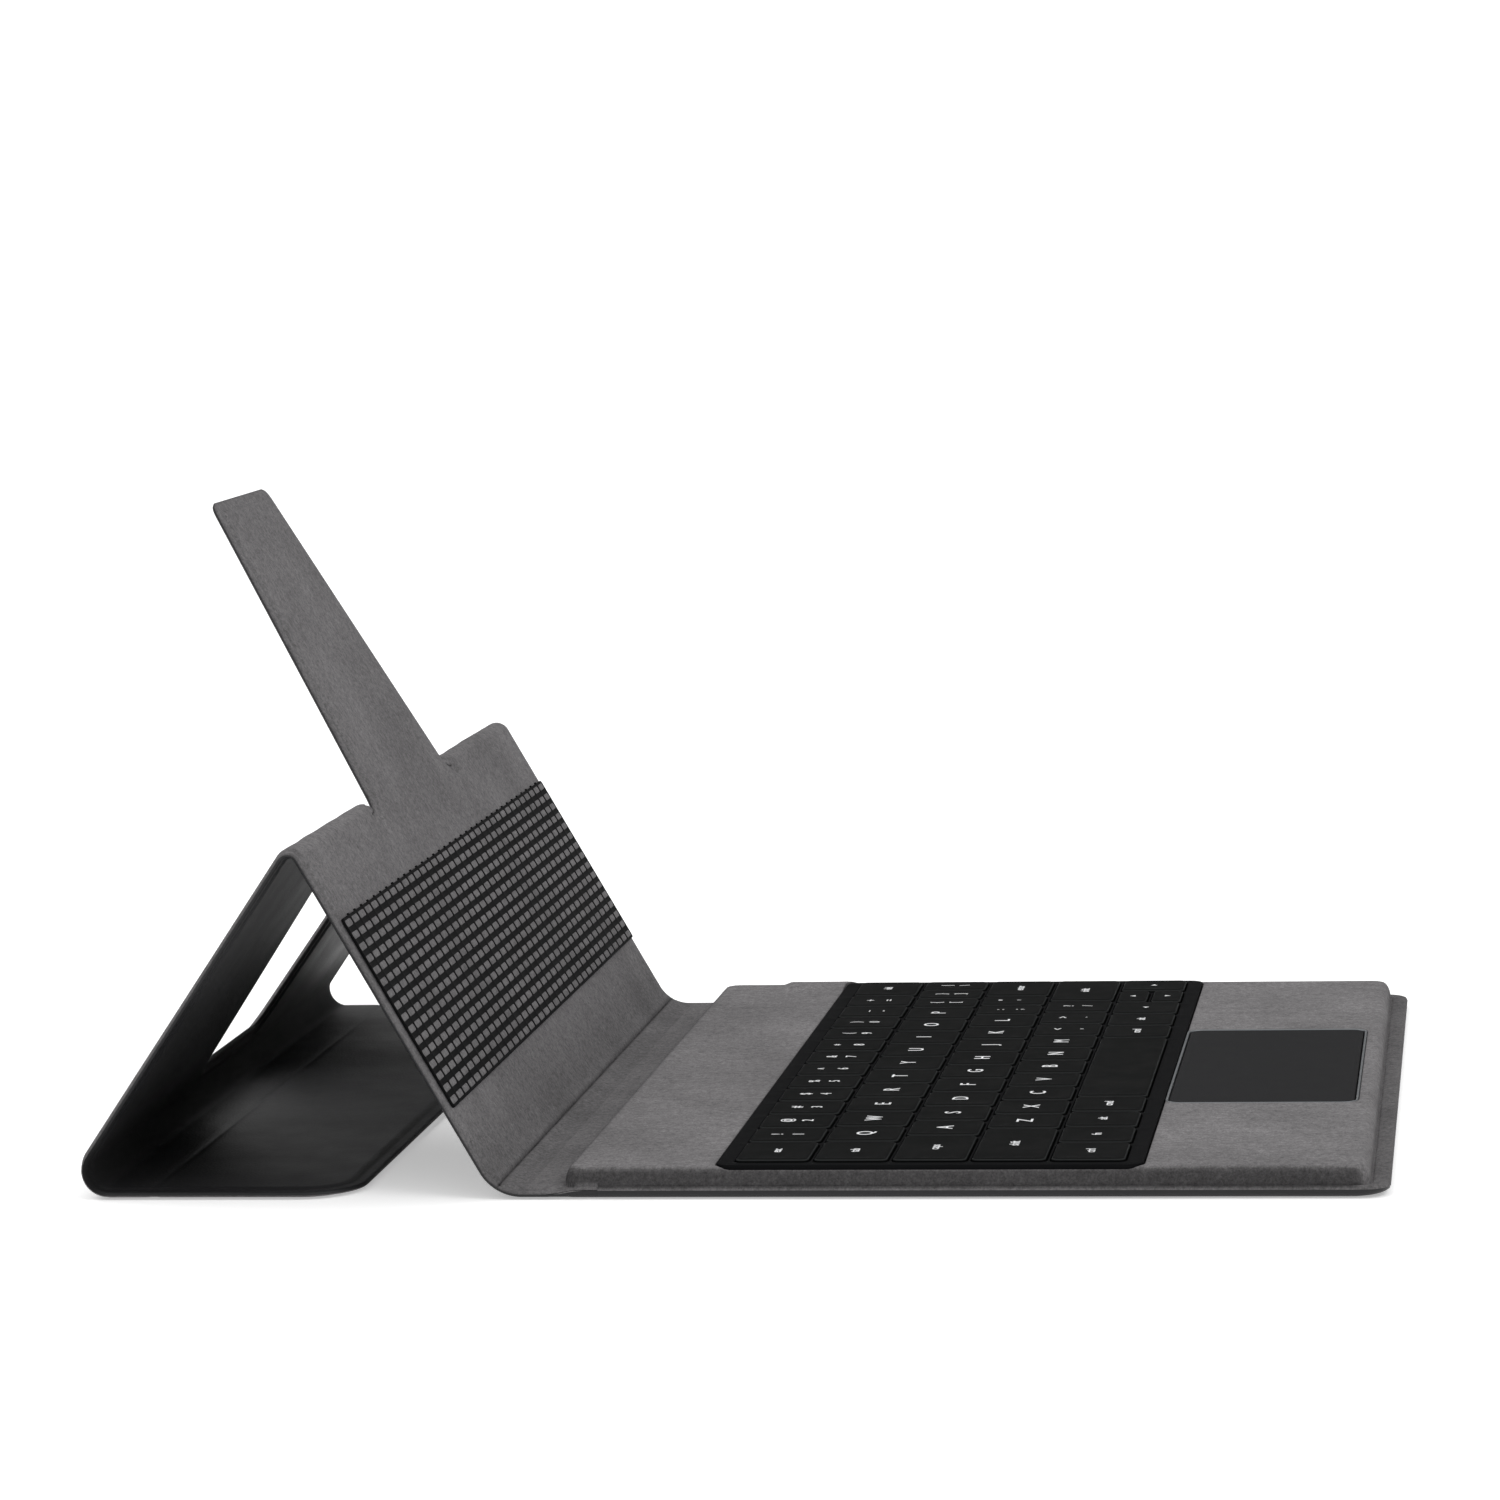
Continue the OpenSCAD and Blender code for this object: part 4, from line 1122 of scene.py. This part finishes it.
# ---------- touchpad ----------
def grown(by, z):
    """The touchpad's outline moved out by this much, at height z."""
    outline = round_rect(-PAD_X - by, PAD_Y0 - by, PAD_X + by, PAD_Y1 + by, PAD_R + by, 7)
    return [(a, b, z) for a, b in outline]


SURFACE, TOUCH_EDGE = 7.1, 0.28
touch_rows = [grown(-0.02, 6.1), grown(0, 6.2)]
for a in (0, 0.5, 1.0, math.pi / 2):
    touch_rows.append(grown(-TOUCH_EDGE * (1 - math.cos(a)), SURFACE - TOUCH_EDGE * (1 - math.sin(a))))
touch_rows.append(grown(-1.5, SURFACE))
touch = joined("touchpad_plate", [loft(touch_rows)], M_TOUCH, 40)
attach(touch, "touchpad")
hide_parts("touchpad_surface")
TRIM_IN, TRIM_OUT, TRIM_LOW = 0.3, 0.9, 5.6
TRIM_PROFILE = [
    (TRIM_OUT, TRIM_LOW), (TRIM_OUT, 7.08), (TRIM_OUT - 0.06, 7.19), (TRIM_OUT - 0.2, 7.25),
    (TRIM_IN + 0.25, 7.22), (TRIM_IN + 0.06, 7.08), (TRIM_IN, 6.9), (TRIM_IN, TRIM_LOW),
]
trim = joined("touchpad_frame", [loft([grown(*p) for p in TRIM_PROFILE], ring=True)], M_TRIM, 40)
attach(trim, "base")
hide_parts("touchpad_trim")


# ---------- grip grid on the support ----------
GRIP_X, GRIP_V0, GRIP_V1 = CASE_X - 3.0, 21.8, 72.2
GRIP_ROWS, GRIP_COLS = 16, 36
PITCH_X, PITCH_V = 2 * GRIP_X / GRIP_COLS, (GRIP_V1 - GRIP_V0) / GRIP_ROWS
CELL_W, CELL_H, CELL_R = 6.05, 1.7, 0.5
GRIP_TOP, GRIP_LOW, GRIP_EDGE = 1.68, 1.10, 0.16


def on_support(p):
    """Points (x, v, h) of the support panel to (x, y, z)."""
    p = np.asarray(p, float)
    c, s = math.cos(LEAN), math.sin(LEAN)
    return np.column_stack([
        p[:, 0], SPINE_Y + CREASE + p[:, 1] * c - p[:, 2] * s, PANEL + p[:, 1] * s + p[:, 2] * c])


def grip_outline():
    """The grid's outline, with the cross lines' ends standing out as small teeth at the top."""
    half, point, out = 0.42, 0.42 * 0.7, GRIP_V1 + 0.4
    teeth = []
    for k in range(GRIP_COLS - 1, 0, -1):
        x = -GRIP_X + k * PITCH_X
        teeth += [(x + half, GRIP_V1), (x + point, out), (x - point, out), (x - half, GRIP_V1)]
    r = 0.8
    x, low, high = GRIP_X - r, GRIP_V0 + r, GRIP_V1 - r
    return (
        arc_points(-x, low, r, 180, 270, 3) + arc_points(x, low, r, -90, 0, 3)
        + arc_points(x, high, r, 0, 90, 3) + teeth + arc_points(-x, high, r, 90, 180, 3))


CELL_PROFILE = ((-0.12, 0.7), (-0.12, 0.2), (0.15, 0.11), (0.5, 0.07))


def cell_outline(cx, cv, inset, r):
    """The outline of one opening of the grid, moved in by inset."""
    x0, v0, x1, v1 = cx - CELL_W / 2, cv - CELL_H / 2, cx + CELL_W / 2, cv + CELL_H / 2
    return round_rect(x0 + inset, v0 + inset, x1 - inset, v1 - inset, r, 2)


def build_grip():
    """The silicone grid, and the lining that swells up in its openings."""
    holes, pillows = [], []
    for i in range(GRIP_COLS):
        for j in range(GRIP_ROWS):
            cx, cv = -GRIP_X + (i + 0.5) * PITCH_X, GRIP_V0 + (j + 0.5) * PITCH_V
            holes.append(cell_outline(cx, cv, 0, CELL_R))
            rows = []
            for inset, below in CELL_PROFILE:
                loop = cell_outline(cx, cv, inset, max(CELL_R - inset, 0.2))
                rows.append([tuple(q) for q in on_support([(a, b, GRIP_TOP - below) for a, b in loop])])
            pillows.append(loft(rows))
    grid = plate(
        "grip_grid", grip_outline(), holes, (0.06, GRIP_EDGE),
        lambda d: GRIP_TOP - GRIP_EDGE * (1 - quarter(d / GRIP_EDGE)),
        GRIP_LOW, M_GRIP, step=8, sharp=60, lift=on_support)
    cells = joined("grip_cells", pillows, M_COVER, 60)
    return grid, cells


grid, cells = build_grip()
for piece in (grid, cells):
    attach(piece, "support")
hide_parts("grip_pad")


# ---------- power slider on the side ----------
def side_block(x0, x1, y0, y1, z0, z1, r):
    """A block that sticks out towards +X, with its outer edges bevelled."""
    rows = []
    for x, inset in ((x0, 0), (x1 - 0.15, 0), (x1 - 0.04, 0.04), (x1, 0.15)):
        rows.append([(x, a, b) for a, b in round_rect(y0 + inset, z0 + inset, y1 - inset, z1 - inset, r, 4)])
    return loft(rows)


low, high = box_mm("power_slider")
sy0, sy1 = low[1] + HALF_DEPTH, high[1] + HALF_DEPTH
ridges = [side_block(high[0] - 0.5, high[0] + 0.12, y, y + 0.28, low[2] + 0.12, high[2] - 0.12, 0.1)
          for y in np.arange(sy0 + 0.55, sy1 - 0.6, 0.55)]
knob = side_block(low[0], high[0], sy0, sy1, low[2], high[2], 0.3)
slider = joined("slider_knob", [knob] + ridges, M_BEZEL, 40)
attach(slider, "slider")
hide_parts("power_slider")


# ---------- floor, light and camera ----------
def build_stage():
    """A wide round pale floor with a low curved rim."""
    bend = [(7.0 + 1.2 * math.sin(a), 0.45 * (1 - math.cos(a))) for a in np.linspace(0.1, math.pi / 2, 8)]
    profile = [(0.6, 0.0), (2.0, 0.0), (7.0, 0.0)] + bend + [(8.2, 0.62)]
    turns = 72
    angles = [2 * math.pi * i / turns for i in range(turns)]
    pts = [(0.0, 0.0, 0.0)]
    faces = []
    for r, z in profile:
        pts += [(r * math.cos(a), r * math.sin(a), z) for a in angles]
    faces += [(0, 1 + i, 1 + (i + 1) % turns) for i in range(turns)]
    for k in range(len(profile) - 1):
        a, b = 1 + k * turns, 1 + (k + 1) * turns
        faces += [(a + i, b + i, b + (i + 1) % turns, a + (i + 1) % turns) for i in range(turns)]
    mesh = bpy.data.meshes.new("floor")
    mesh.from_pydata(pts, [], faces)
    mesh.polygons.foreach_set("use_smooth", [True] * len(mesh.polygons))
    m = material("floor_paint", grey(0.9), 0.9, spec=0.0)
    n = Nodes(m)
    n.colour(n.ramp(n.noise(n.coords(), 3, 2, 0.5), [(0.3, grey(0.895)), (0.7, grey(0.905))]))
    n.shader.inputs["Emission Color"].default_value = (1, 1, 1, 1)
    n.shader.inputs["Emission Strength"].default_value = FLOOR_GLOW
    mesh.materials.append(m)
    add_object("floor", mesh)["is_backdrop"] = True


def area_light(name, position, target, size, power):
    data = bpy.data.lights.new(name, "AREA")
    data.shape = "DISK"
    data.size = size
    data.energy = power
    o = add_object(name, data)
    o.location = position
    o.rotation_mode = "QUATERNION"
    o.rotation_quaternion = (Vector(target) - Vector(position)).to_track_quat("-Z", "Y")


FLOOR_GLOW = 0.38
build_stage()
area_light("key_light", (-1.1, -1.6, 2.3), (0, 0, 0.03), 1.4, 16)
area_light("rim_light", (0.6, 1.7, 1.9), (0, 0.05, 0.05), 1.4, 10)


def build_world():
    """Soft light from above that fades towards the horizon."""
    world = bpy.data.worlds.new("studio")
    world.use_nodes = True
    tree = world.node_tree
    coord = tree.nodes.new("ShaderNodeTexCoord")
    split = tree.nodes.new("ShaderNodeSeparateXYZ")
    ramp = tree.nodes.new("ShaderNodeValToRGB")
    for element, place_at, tone in zip(ramp.color_ramp.elements, (0.16, 0.62), (0.16, 1)):
        element.position = place_at
        element.color = (*grey(tone), 1)
    tree.links.new(coord.outputs["Generated"], split.inputs[0])
    tree.links.new(split.outputs["Z"], ramp.inputs[0])
    tree.links.new(ramp.outputs[0], tree.nodes["Background"].inputs["Color"])
    tree.nodes["Background"].inputs["Strength"].default_value = 0.95
    bpy.context.scene.world = world


build_world()


CAMERA_AT = Vector((-1.30312, -0.17620, 0.23953))
CAMERA_ANGLES = (8.08, -6.58, 1.69)     # yaw from +X, pitch and roll, in degrees


def build_camera():
    yaw, pitch, roll = (math.radians(a) for a in CAMERA_ANGLES)
    forward = Vector((math.cos(yaw) * math.cos(pitch), math.sin(yaw) * math.cos(pitch), math.sin(pitch)))
    right = Vector((math.sin(yaw), -math.cos(yaw), 0))
    up = right.cross(forward)
    r = right * math.cos(roll) - up * math.sin(roll)
    u = right * math.sin(roll) + up * math.cos(roll)
    data = bpy.data.cameras.new("camera")
    data.sensor_width = 36
    data.lens = 126.83
    data.clip_start, data.clip_end = 0.05, 40
    o = add_object("camera", data)
    o.matrix_world = Matrix.Translation(CAMERA_AT) @ Matrix((r, u, -forward)).transposed().to_4x4()
    bpy.context.scene.camera = o


build_camera()
bpy.context.scene.view_settings.view_transform = "Standard"
low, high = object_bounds()
